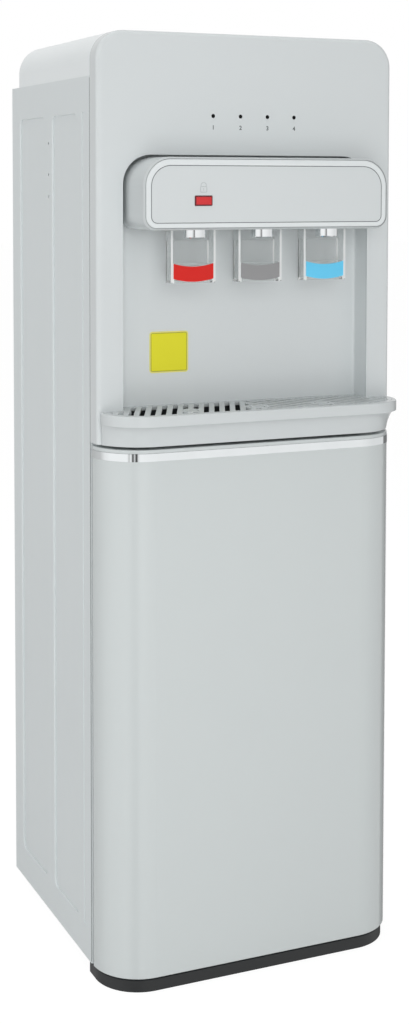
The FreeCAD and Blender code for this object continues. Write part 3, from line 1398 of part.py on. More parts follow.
def power_board():
    """Control board on four posts at the rear panel, with a transformer and two relays."""
    body = new_body("power_board")
    rear = s.body_deep
    board = rear - 12
    left, right, low, high = s.hot_x - 55, s.hot_x + 55, 822, 884
    boss(body, "XZ", board, board + 1.6, corner_box(left, right, low, high))
    posts = [disc(x, z, 6) for x in (left + 6, right - 6) for z in (low + 6, high - 6)]
    boss(body, "XZ", board + 1.6, rear, *posts)
    boss(body, "XZ", board - 26, board, corner_box(left + 12, left + 46, low + 12, low + 50))
    boss(body, "XZ", board - 15, board, corner_box(right - 42, right - 26, low + 14, low + 42),
         corner_box(right - 22, right - 6, low + 14, low + 42))
    return body


# --------------------------------------------------------------- the whole cooler

def taps():
    pieces = []
    for name, x in zip(tap_names, tap_places):
        pieces += [tap_body(name, x), lever(name, x), lever_insert(name, x), valve_stem(name, x)]
    return pieces


def cabinet():
    return [base_pan(), front_plinth(), levelling_feet(), side_panel("left_side_panel", -1),
            side_panel("right_side_panel", 1), rear_panel(), door_frame(), compartment_liner(),
            mid_shelf(), top_cap(), front_bezel(), display_board(), indicator_lamps(), niche_liner()]


def dispenser():
    return [tap_housing(), housing_rim(), housing_panel(), lock_button(), lock_spring(),
            tray_shelf(), drip_basin(), drip_grille()] + taps()


def door():
    return [door_shell(), door_liner(), door_trim(), door_gasket(), top_hinge(), bottom_hinge()]


def inner_parts():
    return [tank_shelf(), cold_tank(), cold_tank_lid(), tank_float(), cold_tank_jacket(), evaporator_coil(),
            hot_tank(), hot_tank_jacket(), compressor(), water_pump(), suction_hose(), tap_hoses(),
            bottle_probe(), probe_clip(), power_board()]


def rear_parts():
    return [condenser(), switch_block(), switch_rocker("hot_switch_rocker", -s.rocker_out),
            switch_rocker("cold_switch_rocker", s.rocker_out), drain_plug()]


def check(pieces):
    """Stops the build when anything failed or a sub-part has no sound solid."""
    doc.recompute()
    failed = [item.Name for item in doc.Objects if "Invalid" in item.State or "Error" in item.State]
    for piece in pieces:
        shape = piece.Shape
        if shape.isNull() or not shape.isValid() or not shape.Solids:
            failed.append(piece.Label)
    if failed:
        raise ValueError("failed: " + ", ".join(failed))


def save(pieces):
    os.makedirs("parts", exist_ok=True)
    for piece in pieces:
        piece.Shape.exportStep("parts/%s.step" % piece.Label)
        print(piece.Label, len(piece.Shape.Solids), "%.1f cm3" % (piece.Shape.Volume / 1000))


sub_parts = cabinet() + dispenser() + door() + inner_parts() + rear_parts()
check(sub_parts)
save(sub_parts)
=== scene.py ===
import json
import math
import bpy
from mathutils import Matrix, Vector

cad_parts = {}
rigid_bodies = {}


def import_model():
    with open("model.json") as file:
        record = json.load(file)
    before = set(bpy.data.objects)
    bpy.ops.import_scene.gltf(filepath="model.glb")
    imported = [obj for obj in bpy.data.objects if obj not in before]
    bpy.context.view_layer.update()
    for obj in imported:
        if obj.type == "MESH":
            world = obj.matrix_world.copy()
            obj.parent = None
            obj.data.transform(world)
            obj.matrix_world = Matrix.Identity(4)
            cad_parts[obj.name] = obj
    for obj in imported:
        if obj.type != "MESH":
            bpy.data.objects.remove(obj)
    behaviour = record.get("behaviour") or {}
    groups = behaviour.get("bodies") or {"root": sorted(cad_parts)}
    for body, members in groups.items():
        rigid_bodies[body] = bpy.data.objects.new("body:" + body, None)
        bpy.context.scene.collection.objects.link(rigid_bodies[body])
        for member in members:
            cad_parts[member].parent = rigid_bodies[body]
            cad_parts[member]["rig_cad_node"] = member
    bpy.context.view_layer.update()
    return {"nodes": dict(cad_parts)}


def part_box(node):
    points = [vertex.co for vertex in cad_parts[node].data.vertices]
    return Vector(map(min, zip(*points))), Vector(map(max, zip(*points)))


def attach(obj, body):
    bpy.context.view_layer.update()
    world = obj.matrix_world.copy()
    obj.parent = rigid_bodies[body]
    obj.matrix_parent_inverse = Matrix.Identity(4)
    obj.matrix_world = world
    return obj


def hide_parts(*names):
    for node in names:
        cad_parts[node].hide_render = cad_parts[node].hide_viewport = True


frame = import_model()
bpy.ops.object.select_all(action="DESELECT")

scene = bpy.context.scene
scene.view_settings.view_transform = "Standard"

DOOR_FACE = -0.176


def place(x, y, z):
    """A point given in millimetres, with y measured back from the door's face."""
    return Vector((x / 1000, DOOR_FACE + y / 1000, z / 1000))


# --------------------------------------------------------------------- colours

def paint(red, green, blue):
    """A colour written as it looks on a screen, as the linear values a shader takes."""
    def linear(value):
        value = value / 255
        return value / 12.92 if value <= 0.04045 else ((value + 0.055) / 1.055) ** 2.4
    return (linear(red), linear(green), linear(blue), 1.0)


def shaded(colour, factor):
    return tuple(channel * factor for channel in colour[:3]) + (1.0,)


class Finish:
    """A material under construction: its nodes are added one by one."""

    def __init__(self, name):
        self.material = bpy.data.materials.new(name)
        self.material.use_nodes = True
        self.nodes = self.material.node_tree.nodes
        self.links = self.material.node_tree.links
        self.shader = self.nodes["Principled BSDF"]
        self.place = self.nodes.new("ShaderNodeTexCoord").outputs["Object"]

    def set(self, **values):
        for name, value in values.items():
            self.shader.inputs[name.replace("_", " ")].default_value = value
        return self

    def noise(self, scale, detail=3, stretch=None):
        noise = self.nodes.new("ShaderNodeTexNoise")
        noise.inputs["Scale"].default_value = scale
        noise.inputs["Detail"].default_value = detail
        source = self.place
        if stretch:
            mapping = self.nodes.new("ShaderNodeMapping")
            mapping.inputs["Scale"].default_value = stretch
            self.links.new(self.place, mapping.inputs["Vector"])
            source = mapping.outputs["Vector"]
        self.links.new(source, noise.inputs["Vector"])
        return noise.outputs["Fac"]

    def ranged(self, value, low, high, start=0.3, stop=0.7):
        limits = self.nodes.new("ShaderNodeMapRange")
        for name, number in (("From Min", start), ("From Max", stop), ("To Min", low), ("To Max", high)):
            limits.inputs[name].default_value = number
        self.links.new(value, limits.inputs["Value"])
        return limits.outputs["Result"]

    def mixed(self, value, first, second):
        """A colour between two others, each a colour or another node's output."""
        blend = self.nodes.new("ShaderNodeMix")
        blend.data_type = "RGBA"
        for socket, colour in ((blend.inputs["A"], first), (blend.inputs["B"], second)):
            if isinstance(colour, tuple):
                socket.default_value = colour
            else:
                self.links.new(colour, socket)
        self.links.new(value, blend.inputs["Factor"])
        return blend.outputs["Result"]

    def colour(self, value, first, second):
        """Shades the surface between two colours."""
        self.links.new(self.mixed(value, first, second), self.shader.inputs["Base Color"])
        return self

    def gloss(self, value, low, high):
        self.links.new(self.ranged(value, low, high), self.shader.inputs["Roughness"])
        return self

    def relief(self, value, height):
        bump = self.nodes.new("ShaderNodeBump")
        bump.inputs["Strength"].default_value = 1.0
        bump.inputs["Distance"].default_value = height
        self.links.new(value, bump.inputs["Height"])
        self.links.new(bump.outputs["Normal"], self.shader.inputs["Normal"])
        return self

    def within(self, axis, low, high):
        """1 where the place along an axis lies between two limits, in metres, and 0 elsewhere."""
        parts = self.nodes.new("ShaderNodeSeparateXYZ")
        self.links.new(self.place, parts.inputs[0])
        above = self.compare("GREATER_THAN", parts.outputs[axis], low)
        return self.product(above, self.compare("LESS_THAN", parts.outputs[axis], high))

    def compare(self, operation, value, limit):
        test = self.nodes.new("ShaderNodeMath")
        test.operation = operation
        self.links.new(value, test.inputs[0])
        test.inputs[1].default_value = limit
        return test.outputs[0]

    def product(self, first, second):
        times = self.nodes.new("ShaderNodeMath")
        times.operation = "MULTIPLY"
        self.links.new(first, times.inputs[0])
        self.links.new(second, times.inputs[1])
        return times.outputs[0]

    def upright_edge(self, least=0.7):
        """1 where the surface faces the front or the back."""
        shape = self.nodes.new("ShaderNodeNewGeometry")
        parts = self.nodes.new("ShaderNodeSeparateXYZ")
        self.links.new(shape.outputs["Normal"], parts.inputs[0])
        size = self.nodes.new("ShaderNodeMath")
        size.operation = "ABSOLUTE"
        self.links.new(parts.outputs["Y"], size.inputs[0])
        return self.compare("GREATER_THAN", size.outputs[0], least)

    def outside(self, middle, half):
        """1 further than half from the middle along X, in metres."""
        parts = self.nodes.new("ShaderNodeSeparateXYZ")
        self.links.new(self.place, parts.inputs[0])
        shift = self.nodes.new("ShaderNodeMath")
        shift.operation = "SUBTRACT"
        self.links.new(parts.outputs["X"], shift.inputs[0])
        shift.inputs[1].default_value = middle
        size = self.nodes.new("ShaderNodeMath")
        size.operation = "ABSOLUTE"
        self.links.new(shift.outputs[0], size.inputs[0])
        return self.compare("GREATER_THAN", size.outputs[0], half)


def moulded(name, colour, rough=0.3, grain=0.000004, tint=0.985, coat=0.0):
    """Moulded plastic: a barely uneven tint and gloss, and a fine skin."""
    finish = Finish(name)
    cloud = finish.ranged(finish.noise(3, 2), 0, 1)
    finish.colour(cloud, colour, shaded(colour, tint))
    finish.gloss(finish.noise(60), rough - 0.02, rough + 0.02)
    finish.relief(finish.noise(1500, 2), grain)
    finish.set(IOR=1.46, Coat_Weight=coat, Coat_Roughness=0.06)
    return finish.material


def sprayed_steel(name, colour):
    """Painted sheet steel with the faint ripple of sprayed paint."""
    finish = Finish(name)
    cloud = finish.ranged(finish.noise(2.5, 2), 0, 1)
    finish.colour(cloud, colour, shaded(colour, 0.98))
    finish.gloss(finish.noise(60), 0.34, 0.40)
    finish.relief(finish.noise(700, 2), 0.000012)
    return finish.material


def zinc_sheet(name, colour):
    """Zinc coated steel with its broad crystals."""
    finish = Finish(name)
    crystals = finish.nodes.new("ShaderNodeTexVoronoi")
    crystals.inputs["Scale"].default_value = 90
    finish.links.new(finish.place, crystals.inputs["Vector"])
    shade = finish.ranged(crystals.outputs["Color"], 0, 1, 0, 1)
    finish.colour(shade, shaded(colour, 0.85), colour)
    finish.gloss(finish.noise(60), 0.32, 0.5)
    finish.set(Metallic=1.0)
    return finish.material


def drawn_metal(name, colour, rough, stretch=(1, 1, 40)):
    """Metal with fine lines along one direction."""
    finish = Finish(name)
    lines = finish.noise(60, 4, stretch)
    finish.colour(finish.ranged(lines, 0, 1), colour, shaded(colour, 0.85))
    finish.gloss(lines, rough, rough + 0.12)
    finish.relief(lines, 0.00001)
    finish.set(Metallic=1.0)
    return finish.material


def plated(name, colour, rough=0.03):
    """Bright plating: a mirror with a breath of haze and polishing marks."""
    finish = Finish(name)
    haze = finish.noise(35, 3)
    finish.colour(finish.ranged(haze, 0, 1), colour, shaded(colour, 0.97))
    finish.gloss(haze, rough, rough + 0.03)
    finish.relief(finish.noise(500, 2), 0.000001)
    finish.set(Metallic=1.0)
    return finish.material


def clear_lever(name, middle):
    """Clear moulded plastic whose arms' front edges are rougher, opaque and whitish: a painted highlight for
    the bright lines that light makes on those edges.
    """
    finish = Finish(name)
    cloud = finish.ranged(finish.noise(30), 0, 1)
    edges = finish.product(finish.upright_edge(), finish.outside(middle, 0.0222))
    # Painted highlight: the arms' front edges turn opaque and whitish.
    edge_highlight = finish.ranged(edges, 0, 1, 0, 1)
    glass = finish.mixed(cloud, (0.95, 0.96, 0.96, 1), (0.90, 0.92, 0.92, 1))
    finish.colour(edge_highlight, glass, (0.90, 0.92, 0.92, 1))
    finish.links.new(finish.ranged(edges, 0.03, 0.45, 0, 1), finish.shader.inputs["Roughness"])
    finish.links.new(finish.ranged(edges, 0.93, 0.15, 0, 1), finish.shader.inputs["Transmission Weight"])
    finish.set(IOR=1.42)
    return finish.material


def button_with_edge_shade(name, colour, edge_shade_colour):
    """A moulded button with a band of painted shade round its edge, darker than its middle."""
    low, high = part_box("lock_button")
    shade_band_wide, flange = 0.0013, 0.0018
    finish = Finish(name)
    middle = finish.product(
        finish.within("X", low[0] + flange + shade_band_wide, high[0] - flange - shade_band_wide),
        finish.within("Z", low[2] + flange + shade_band_wide, high[2] - flange - shade_band_wide))
    cloud = finish.ranged(finish.noise(30), 0, 1)
    # Painted shade: the band round the middle takes the darker colour.
    finish.colour(middle, edge_shade_colour, finish.mixed(cloud, colour, shaded(colour, 0.97)))
    finish.gloss(finish.noise(60), 0.28, 0.34)
    finish.relief(finish.noise(1500, 2), 0.000004)
    return finish.material


def soft_rubber(name, colour):
    finish = Finish(name)
    finish.colour(finish.ranged(finish.noise(30), 0, 1), colour, shaded(colour, 0.9))
    finish.gloss(finish.noise(80), 0.55, 0.75)
    finish.relief(finish.noise(1200, 2), 0.00002)
    return finish.material


def foam_block(name, colour):
    """Expanded foam with small beads."""
    finish = Finish(name)
    beads = finish.nodes.new("ShaderNodeTexVoronoi")
    beads.inputs["Scale"].default_value = 350
    finish.links.new(finish.place, beads.inputs["Vector"])
    finish.colour(finish.ranged(beads.outputs["Distance"], 0, 1, 0, 0.8), colour, shaded(colour, 0.8))
    finish.relief(beads.outputs["Distance"], 0.0004)
    finish.set(Roughness=0.85)
    return finish.material


def printed_ink(name, colour):
    """Screen printing: slightly uneven cover and no relief."""
    finish = Finish(name)
    finish.colour(finish.ranged(finish.noise(900), 0, 1), colour, shaded(colour, 1.25))
    finish.set(Roughness=0.5)
    return finish.material


bezel_grey = moulded("bezel_grey", paint(218, 223, 224), 0.24, coat=0.15)
niche_grey = moulded("niche_grey", paint(222, 227, 228), 0.34)
tray_grey = moulded("tray_grey", paint(210, 215, 216), 0.24, coat=0.15)
basin_dark = moulded("basin_dark", paint(58, 61, 62), 0.4, 0.00002)
door_grey = moulded("door_grey", paint(208, 214, 214), 0.20, coat=0.5)
# Painted shade: the housing is the same white plastic as the panel, made darker to stand for the shade on its
# sides.
housing_shaded_grey = moulded("housing_shaded_grey", paint(200, 205, 206), 0.22, coat=0.3)
panel_grey = moulded("panel_grey", paint(216, 221, 222), 0.18, coat=0.3)
trim_bright = plated("trim_bright", (0.84, 0.87, 0.88, 1), 0.04)
rim_bright = moulded("rim_bright", paint(229, 234, 235), 0.12, coat=0.8)
side_steel = sprayed_steel("side_steel", paint(223, 229, 230))
cap_grey = moulded("cap_grey", paint(240, 245, 246), 0.30, coat=0.15)
plinth_dark = moulded("plinth_dark", paint(34, 36, 37), 0.45, 0.00004, 0.92)
zinc = zinc_sheet("zinc", (0.58, 0.60, 0.61, 1))
black_enamel = moulded("black_enamel", paint(26, 27, 28), 0.35, 0.00003, 0.9)
black_plastic = moulded("black_plastic", paint(30, 31, 32), 0.45, 0.00004, 0.9)
liner_white = moulded("liner_white", paint(216, 219, 219), 0.4, 0.00002)
tub_white = moulded("tub_white", paint(205, 209, 210), 0.45, 0.00002)
seal_grey = soft_rubber("seal_grey", paint(176, 180, 181))
red_insert = moulded("red_insert", paint(218, 24, 12), 0.3)
grey_insert = moulded("grey_insert", paint(150, 150, 151), 0.3)
blue_insert = moulded("blue_insert", paint(106, 210, 250), 0.3)
# The second colour is painted shade round the button's edge.
button_red = button_with_edge_shade("button_red", paint(214, 48, 50), paint(104, 26, 34))
tap_chrome = plated("tap_chrome", (0.86, 0.88, 0.89, 1), 0.03)
lamp_black = moulded("lamp_black", paint(8, 9, 10), 0.2, 0.000001, 0.9)
dull = lamp_black.node_tree.nodes["Principled BSDF"].inputs["Specular IOR Level"]
dull.default_value = 0.2
satin_steel = drawn_metal("satin_steel", (0.62, 0.63, 0.64, 1), 0.29)
spring_wire = drawn_metal("spring_wire", (0.5, 0.5, 0.5, 1), 0.29)
copper_tube = drawn_metal("copper_tube", (0.72, 0.38, 0.24, 1), 0.29)
foam_white = foam_block("foam_white", paint(238, 238, 235))
board_green = moulded("board_green", paint(34, 96, 58), 0.35, 0.00003, 0.85)
clear_silicone = soft_rubber("clear_silicone", paint(214, 218, 219))
hot_rocker_red = moulded("hot_rocker_red", paint(190, 40, 36), 0.25, coat=0.3)
cold_rocker_green = moulded("cold_rocker_green", paint(40, 130, 70), 0.25, coat=0.3)
dark_ink = printed_ink("dark_ink", paint(58, 64, 66))
pale_ink = printed_ink("pale_ink", paint(176, 182, 183))
plate_yellow = moulded("plate_yellow", paint(238, 232, 44), 0.4, 0.000002, 0.96)
plate_line = printed_ink("plate_line", paint(164, 160, 34))
plate_edge = moulded("plate_edge", paint(238, 232, 138), 0.4, 0.000002, 0.96)
seam_shadow = printed_ink("seam_shadow", paint(84, 89, 91))
rim_shadow = printed_ink("rim_shadow", paint(126, 131, 133))

FINISHES = {
    "front_bezel": bezel_grey, "top_cap": cap_grey, "niche_liner": niche_grey, "tray_shelf": tray_grey,
    "drip_basin": basin_dark, "drip_grille": tray_grey, "tap_housing": housing_shaded_grey,
    "housing_rim": rim_bright, "housing_panel": panel_grey, "lock_button": button_red,
    "lock_spring": spring_wire, "door_shell": door_grey, "door_liner": liner_white,
    "door_trim": trim_bright, "door_gasket": seal_grey, "door_frame": liner_white,
    "compartment_liner": tub_white, "probe_clip": liner_white, "bottle_probe": liner_white,
    "left_side_panel": side_steel, "right_side_panel": side_steel, "rear_panel": zinc,
    "base_pan": zinc, "mid_shelf": zinc, "tank_shelf": zinc, "top_hinge": zinc, "bottom_hinge": zinc,
    "front_plinth": plinth_dark, "levelling_feet": black_plastic, "switch_block": black_plastic,
    "drain_plug": black_plastic, "hot_tank_jacket": black_plastic, "compressor": black_enamel,
    "condenser": black_enamel, "indicator_lamps": lamp_black, "display_board": board_green,
    "power_board": board_green, "tap_hoses": clear_silicone, "suction_hose": clear_silicone,
    "cold_tank": satin_steel, "hot_tank": satin_steel, "cold_tank_lid": liner_white,
    "tank_float": liner_white, "cold_tank_jacket": foam_white, "evaporator_coil": copper_tube,
    "water_pump": liner_white, "hot_switch_rocker": hot_rocker_red,
    "cold_switch_rocker": cold_rocker_green,
}
TAP_PITCH = 0.079
TAPS = (("hot", -TAP_PITCH, "red_plastic", red_insert), ("room", 0, "grey_plastic", grey_insert),
        ("cold", TAP_PITCH, "blue_plastic", blue_insert))
for tap, middle, slot, insert in TAPS:
    FINISHES[tap + "_lever_insert"] = insert
    FINISHES[tap + "_lever"] = clear_lever(tap + "_lever_clear", middle)
    FINISHES[tap + "_tap_body"] = tap_chrome
    FINISHES[tap + "_valve_stem"] = clear_silicone

for node, material in FINISHES.items():
    piece = frame["nodes"][node]
    piece.data.materials.clear()
    piece.data.materials.append(material)


# ------------------------------------- printing, seams, lever plates and the niche plate

def edit(piece):
    """Makes one piece active and opens it for editing with nothing selected."""
    bpy.ops.object.select_all(action="DESELECT")
    piece.select_set(True)
    bpy.context.view_layer.objects.active = piece
    bpy.ops.object.mode_set(mode="EDIT")
    bpy.ops.mesh.select_all(action="DESELECT")
    bpy.ops.mesh.select_mode(type="FACE")
    bpy.ops.object.mode_set(mode="OBJECT")


def pick(piece, kind, test):
    """Selects the faces or edges that pass a test, and opens the piece for editing."""
    edit(piece)
    for item in getattr(piece.data, kind):
        item.select = test(item)
    bpy.ops.object.mode_set(mode="EDIT")
    bpy.ops.mesh.select_mode(type={"polygons": "FACE", "edges": "EDGE"}[kind])


def close_edit():
    bpy.ops.object.mode_set(mode="OBJECT")
    bpy.ops.object.select_all(action="DESELECT")


def finished(piece, name, body, slot, *materials):
    """Names a piece, gives it its finishes and hangs it on its body."""
    piece.name = name
    for material in materials:
        piece.data.materials.append(material)
    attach(piece, body)
    return piece


def lamp_numerals():
    """Plain numbers printed under the four lamps."""
    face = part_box("front_bezel")[0][1]
    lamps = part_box("indicator_lamps")
    first, last = lamps[0][0] + 0.0021, lamps[1][0] - 0.0021
    level = (lamps[0][2] + lamps[1][2]) / 2 - 0.0126
    for i in range(4):
        spot = (first + (last - first) * i / 3, face, level)
        bpy.ops.object.select_all(action="DESELECT")
        bpy.ops.object.text_add(location=spot, rotation=(math.pi / 2, 0, 0))
        number = bpy.context.object
        number.data.body = str(i + 1)
        number.data.size = 0.0064
        number.data.offset = 0.00012
        number.data.extrude = 0.00003
        number.data.align_x = "CENTER"
        number.data.align_y = "CENTER"
        bpy.ops.object.convert(target="MESH")
        bpy.ops.object.transform_apply()
        finished(bpy.context.object, "lamp_number_%d" % (i + 1), "cabinet", "dark_plastic", dark_ink)


def rounded_sheet(middle, wide, tall, thick, radius):
    """A thin upright sheet with rounded corners that faces the front."""
    bpy.ops.object.select_all(action="DESELECT")
    bpy.ops.mesh.primitive_cube_add(size=1, location=middle)
    sheet = bpy.context.object
    sheet.dimensions = (wide, thick, tall)
    bpy.ops.object.transform_apply()
    points = sheet.data.vertices
    pick(sheet, "edges", lambda e: abs(points[e.vertices[0]].co.y - points[e.vertices[1]].co.y) > thick / 2)
    bpy.ops.mesh.bevel(offset=radius, segments=6, affect="EDGES")
    close_edit()
    return sheet


def lock_mark():
    """Faint outline of a padlock printed above the lock button."""
    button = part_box("lock_button")
    panel_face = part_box("housing_panel")[0][1]
    x = (button[0][0] + button[1][0]) / 2
    y, z = panel_face - 0.00003, button[1][2] + 0.0016
    thick, line = 0.00005, 0.0008
    case = rounded_sheet((x, y, z + 0.0033), 0.0080, 0.0066, thick, 0.0012)
    pick(case, "polygons", lambda f: abs(f.normal.y) > 0.9)
    bpy.ops.mesh.inset(thickness=line)
    bpy.ops.mesh.delete(type="FACE")
    close_edit()
    bridge_hole(case)
    bpy.ops.mesh.primitive_circle_add(vertices=32, radius=0.0034, fill_type="NGON",
                                      location=(x, y - thick / 2, z + 0.0076), rotation=(math.pi / 2, 0, 0))
    bow = bpy.context.object
    bpy.ops.object.transform_apply()
    pick(bow, "polygons", lambda f: True)
    bpy.ops.mesh.inset(thickness=line)
    bpy.ops.mesh.delete(type="FACE")
    bpy.ops.mesh.select_all(action="SELECT")
    bpy.ops.mesh.bisect(plane_co=(x, y, z + 0.0066), plane_no=(0, 0, -1), clear_outer=True)
    close_edit()
    bow.select_set(True)
    bpy.context.view_layer.objects.active = bow
    wall = bow.modifiers.new("wall", "SOLIDIFY")
    wall.thickness = thick
    bpy.ops.object.modifier_apply(modifier="wall")
    slit = rounded_sheet((x, y, z + 0.0033), 0.0008, 0.0028, thick, 0.0003)
    for piece in (case, slit):
        piece.select_set(True)
    bow.select_set(True)
    bpy.context.view_layer.objects.active = case
    bpy.ops.object.join()
    pick(case, "polygons", lambda f: True)
    bpy.ops.mesh.normals_make_consistent(inside=False)
    close_edit()
    finished(case, "lock_mark", "cabinet", "body_plastic", pale_ink)


def bridge_hole(piece):
    """Joins the two open inner edges of a holed sheet."""
    edit(piece)
    bpy.ops.object.mode_set(mode="EDIT")
    bpy.ops.mesh.select_mode(type="EDGE")
    bpy.ops.mesh.select_non_manifold(extend=False, use_wire=False, use_multi_face=False,
                                     use_non_contiguous=False, use_verts=False)
    bpy.ops.mesh.bridge_edge_loops()
    close_edit()


def niche_plate():
    """Bare yellow plate with a thin line round it, stuck on the back of the niche."""
    middle = place(-83.5, 66.3, 687.5)
    plate = rounded_sheet(middle, 0.0463, 0.0459, 0.0004, 0.0036)
    front = lambda f: f.normal.y < -0.9
    for material in (plate_edge, plate_line, plate_yellow):
        plate.data.materials.append(material)
    pick(plate, "polygons", front)
    bpy.ops.mesh.inset(thickness=0.0015)
    bpy.context.object.active_material_index = 1
    bpy.ops.object.material_slot_assign()
    bpy.ops.mesh.inset(thickness=0.0009)
    bpy.context.object.active_material_index = 2
    bpy.ops.object.material_slot_assign()
    close_edit()
    plate.name = "niche_plate"
    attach(plate, "cabinet")


def seam_line(name, face, half, bottom, top, corners, wide, material):
    """The shadow line in the joint round a moulding: a flat ring as wide as the joint."""
    thick = 0.00005
    middle = (bottom + top) / 2
    bpy.ops.object.select_all(action="DESELECT")
    bpy.ops.mesh.primitive_cube_add(size=1, location=(0, face - thick / 2, middle))
    ring = bpy.context.object
    ring.dimensions = (2 * half, thick, top - bottom)
    bpy.ops.object.transform_apply()
    for radius, upper in zip(corners, (False, True)):
        points = ring.data.vertices
        pick(ring, "edges", lambda e: abs(points[e.vertices[0]].co.y - points[e.vertices[1]].co.y) > thick / 2
             and (points[e.vertices[0]].co.z > middle) == upper
             and abs(points[e.vertices[0]].co.x) > half - 0.00001)
        bpy.ops.mesh.bevel(offset=radius, segments=12, affect="EDGES")
        close_edit()
    pick(ring, "polygons", lambda f: abs(f.normal.y) > 0.9)
    bpy.ops.mesh.inset(thickness=wide)
    bpy.ops.mesh.delete(type="FACE")
    close_edit()
    bridge_hole(ring)
    pick(ring, "polygons", lambda f: True)
    bpy.ops.mesh.normals_make_consistent(inside=False)
    close_edit()
    finished(ring, name, "cabinet", "dark_plastic", material)


def side_seams():
    """The shadow line where each side panel meets the moulded front, as a strip on the panel's front edge."""
    wide, thick, set_back = 0.0009, 0.00005, 0.0002
    for side in ("left", "right"):
        low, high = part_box(side + "_side_panel")
        face = low[0] if side == "left" else high[0]
        spot = (face, low[1] + wide / 2 + set_back, (low[2] + high[2]) / 2)
        bpy.ops.object.select_all(action="DESELECT")
        bpy.ops.mesh.primitive_cube_add(size=1, location=spot)
        strip = bpy.context.object
        strip.dimensions = (thick, wide, high[2] - low[2] - 0.004)
        bpy.ops.object.transform_apply()
        ends = strip.data.vertices
        pick(strip, "edges", lambda e: abs(ends[e.vertices[0]].co.x - ends[e.vertices[1]].co.x) > thick / 2)
        bpy.ops.mesh.bevel(offset=wide * 0.4, segments=4, affect="EDGES")
        close_edit()
        finished(strip, "side_seam_" + side, "cabinet", "dark_plastic", seam_shadow)


def insert_plate(tap, slot, material):
    """The coloured plate of a lever, tall enough to fill the lever's pad."""
    taller, raised = 1.19, 0.0004
    low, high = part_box(tap + "_lever_insert")
    middle = (low + high) / 2
    bpy.ops.object.select_all(action="DESELECT")
    plate = frame["nodes"][tap + "_lever_insert"]
    plate.select_set(True)
    bpy.context.view_layer.objects.active = plate
    bpy.ops.object.duplicate()
    plate = bpy.context.object
    del plate["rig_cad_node"]
    plate.data.materials.clear()
    pick(plate, "polygons", lambda f: True)
    bpy.ops.mesh.remove_doubles(threshold=0.000001)
    bpy.ops.transform.resize(value=(1, 1, taller), center_override=middle)
    bpy.ops.transform.translate(value=(0, 0, raised))
    close_edit()
    finished(plate, tap + "_insert_plate", tap + "_lever", slot, material)
    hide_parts(tap + "_lever_insert")


lamp_numerals()
lock_mark()
niche_plate()
side_seams()
for tap, middle, slot, insert in TAPS:
    insert_plate(tap, slot, insert)
panel_face, housing_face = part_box("housing_panel")[0][1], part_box("tap_housing")[0][1]
seam_line("panel_seam", panel_face - 0.00004, half=0.13695, bottom=0.83135, top=0.89225,
          corners=(0.007, 0.0225), wide=0.00065, material=seam_shadow)
seam_line("rim_seam", housing_face - 0.00002, half=0.1432, bottom=0.8258, top=0.8992,
          corners=(0.0123, 0.0285), wide=0.0005, material=rim_shadow)


# ---------------------------------------------------------- camera, floor, light

def look_from_the_photograph():
    """The photograph's own standpoint: left of the middle, at the height of the taps."""
    camera = bpy.data.cameras.new("camera")
    camera.lens = 57.76
    camera.sensor_width = 36
    camera.shift_x = -0.01058
    camera.shift_y = -0.2275
    viewer = bpy.data.objects.new("camera", camera)
    scene.collection.objects.link(viewer)
    turn = Matrix.Rotation(math.radians(-23.855), 4, "Z")
    tilt = Matrix.Rotation(math.radians(90 - 3.334), 4, "X")
    roll = Matrix.Rotation(math.radians(0.107), 4, "Z")
    viewer.matrix_world = Matrix.Translation(Vector((-0.76732, -1.78264, 0.87335))) @ turn @ tilt @ roll
    scene.camera = viewer


def pale_floor():
    bpy.ops.object.select_all(action="DESELECT")
    bpy.ops.mesh.primitive_plane_add(size=30, location=(0, 5, 0))
    floor = bpy.context.object
    floor.name = "floor"
    bpy.ops.object.transform_apply()
    finish = Finish("floor_white")
    finish.set(Base_Color=(0.86, 0.86, 0.86, 1), Roughness=0.9)
    glow = finish.nodes.new("ShaderNodeEmission")
    glow.inputs["Color"].default_value = (1, 1, 1, 1)
    glow.inputs["Strength"].default_value = 1.12
    rays = finish.nodes.new("ShaderNodeLightPath")
    seen = rays.outputs["Is Camera Ray"]
    for name in ("Is Glossy Ray", "Is Transmission Ray"):
        larger = finish.nodes.new("ShaderNodeMath")
        larger.operation = "MAXIMUM"
        finish.links.new(seen, larger.inputs[0])
        finish.links.new(rays.outputs[name], larger.inputs[1])
        seen = larger.outputs[0]
    part = finish.nodes.new("ShaderNodeMath")
    part.operation = "MULTIPLY"
    part.inputs[1].default_value = 0.82
    finish.links.new(seen, part.inputs[0])
    mix = finish.nodes.new("ShaderNodeMixShader")
    finish.links.new(part.outputs[0], mix.inputs["Fac"])
    finish.links.new(finish.shader.outputs[0], mix.inputs[1])
    finish.links.new(glow.outputs[0], mix.inputs[2])
    finish.links.new(mix.outputs[0], finish.nodes["Material Output"].inputs["Surface"])
    floor.data.materials.append(finish.material)
    floor.visible_glossy = False


# Brightness of the studio round the cooler as its glossy faces see it, by azimuth in degrees:
# 0 is straight in front and 90 is on the right. The narrow dark steps are the frames of the lamps.
STUDIO_ROUND = ((-180, 0.75), (-168, 0.75), (-160, 0.5), (-120, 0.6), (-105, 0.9), (-90, 1.0),
                (-47, 1.0), (-44.5, 0.7), (-42, 0.65), (-39.5, 0.95), (-37.5, 0.95), (-36, 0.1),
                (-33, 0.1), (-31.5, 0.7), (-29.5, 0.7),
                (-28, 0.08), (-24.5, 0.08), (-22.5, 0.8), (-17, 1.0), (20, 0.95), (60, 0.8), (100, 0.8),
                (106, 0.2), (132, 0.2), (138, 0.9), (180, 0.75))


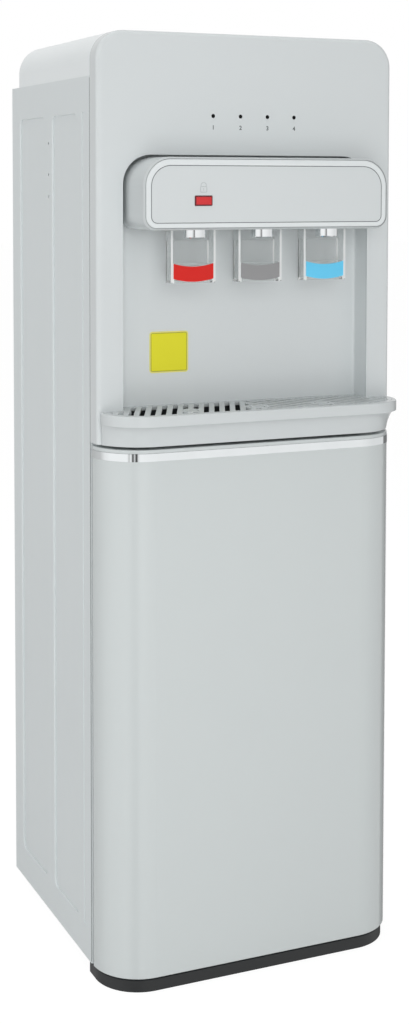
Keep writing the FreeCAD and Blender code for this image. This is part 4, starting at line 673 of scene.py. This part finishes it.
def studio_world():
    """White for the camera and glass, framed soft boxes for gloss, and an even fill on the object."""
    world = bpy.data.worlds.new("studio")
    scene.world = world
    world.use_nodes = True
    nodes, links = world.node_tree.nodes, world.node_tree.links
    way = nodes.new("ShaderNodeTexCoord").outputs["Generated"]
    parts = nodes.new("ShaderNodeSeparateXYZ")
    links.new(way, parts.inputs[0])
    front = nodes.new("ShaderNodeMath")
    front.operation = "MULTIPLY"
    front.inputs[1].default_value = -1
    links.new(parts.outputs["Y"], front.inputs[0])
    round_it = nodes.new("ShaderNodeMath")
    round_it.operation = "ARCTAN2"
    links.new(parts.outputs["X"], round_it.inputs[0])
    links.new(front.outputs[0], round_it.inputs[1])
    share = nodes.new("ShaderNodeMapRange")
    share.inputs["From Min"].default_value = -math.pi
    share.inputs["From Max"].default_value = math.pi
    links.new(round_it.outputs[0], share.inputs["Value"])
    steps = nodes.new("ShaderNodeValToRGB")
    ramp = steps.color_ramp
    while len(ramp.elements) > 1:
        ramp.elements.remove(ramp.elements[-1])
    for i, (angle, level) in enumerate(STUDIO_ROUND):
        at = (angle + 180) / 360
        stop = ramp.elements[0] if i == 0 else ramp.elements.new(at)
        stop.position = at
        stop.color = (level, level, level, 1)
    links.new(share.outputs["Result"], steps.inputs["Fac"])
    rays = nodes.new("ShaderNodeLightPath")
    seen = nodes.new("ShaderNodeMath")
    seen.operation = "MAXIMUM"
    links.new(rays.outputs["Is Camera Ray"], seen.inputs[0])
    links.new(rays.outputs["Is Transmission Ray"], seen.inputs[1])
    plain = nodes.new("ShaderNodeMix")
    plain.data_type = "RGBA"
    plain.inputs["A"].default_value = (0.44, 0.44, 0.44, 1)
    plain.inputs["B"].default_value = (1, 1, 1, 1)
    links.new(seen.outputs[0], plain.inputs["Factor"])
    both = nodes.new("ShaderNodeMix")
    both.data_type = "RGBA"
    links.new(rays.outputs["Is Glossy Ray"], both.inputs["Factor"])
    links.new(plain.outputs["Result"], both.inputs["A"])
    links.new(steps.outputs["Color"], both.inputs["B"])
    sky = nodes["Background"]
    links.new(both.outputs["Result"], sky.inputs["Color"])
    world.cycles.sampling_method = "NONE"


def soft_lamp(name, spot, aim, size, power):
    """A rectangular soft box. Gloss sees the studio's own soft boxes in its place."""
    lamp = bpy.data.lights.new(name, "AREA")
    lamp.shape = "RECTANGLE"
    lamp.size, lamp.size_y = size
    lamp.energy = power
    holder = bpy.data.objects.new(name, lamp)
    scene.collection.objects.link(holder)
    spot, aim = Vector(spot), Vector(aim)
    holder.location = spot
    holder.rotation_mode = "QUATERNION"
    holder.rotation_quaternion = (aim - spot).to_track_quat("-Z", "Y")
    holder.visible_glossy = False


look_from_the_photograph()
pale_floor()
studio_world()
soft_lamp("key_softbox", (-0.5, -1.7, 0.68), (0, 0, 0.42), (0.9, 1.6), 12.4)
soft_lamp("left_softbox", (-2.4, 0.5, 1.7), (0, 0, 0.7), (1.2, 1.2), 12.5)
soft_lamp("top_softbox", (0.0, -0.2, 2.6), (0, 0, 0.9), (1.6, 1.6), 11)
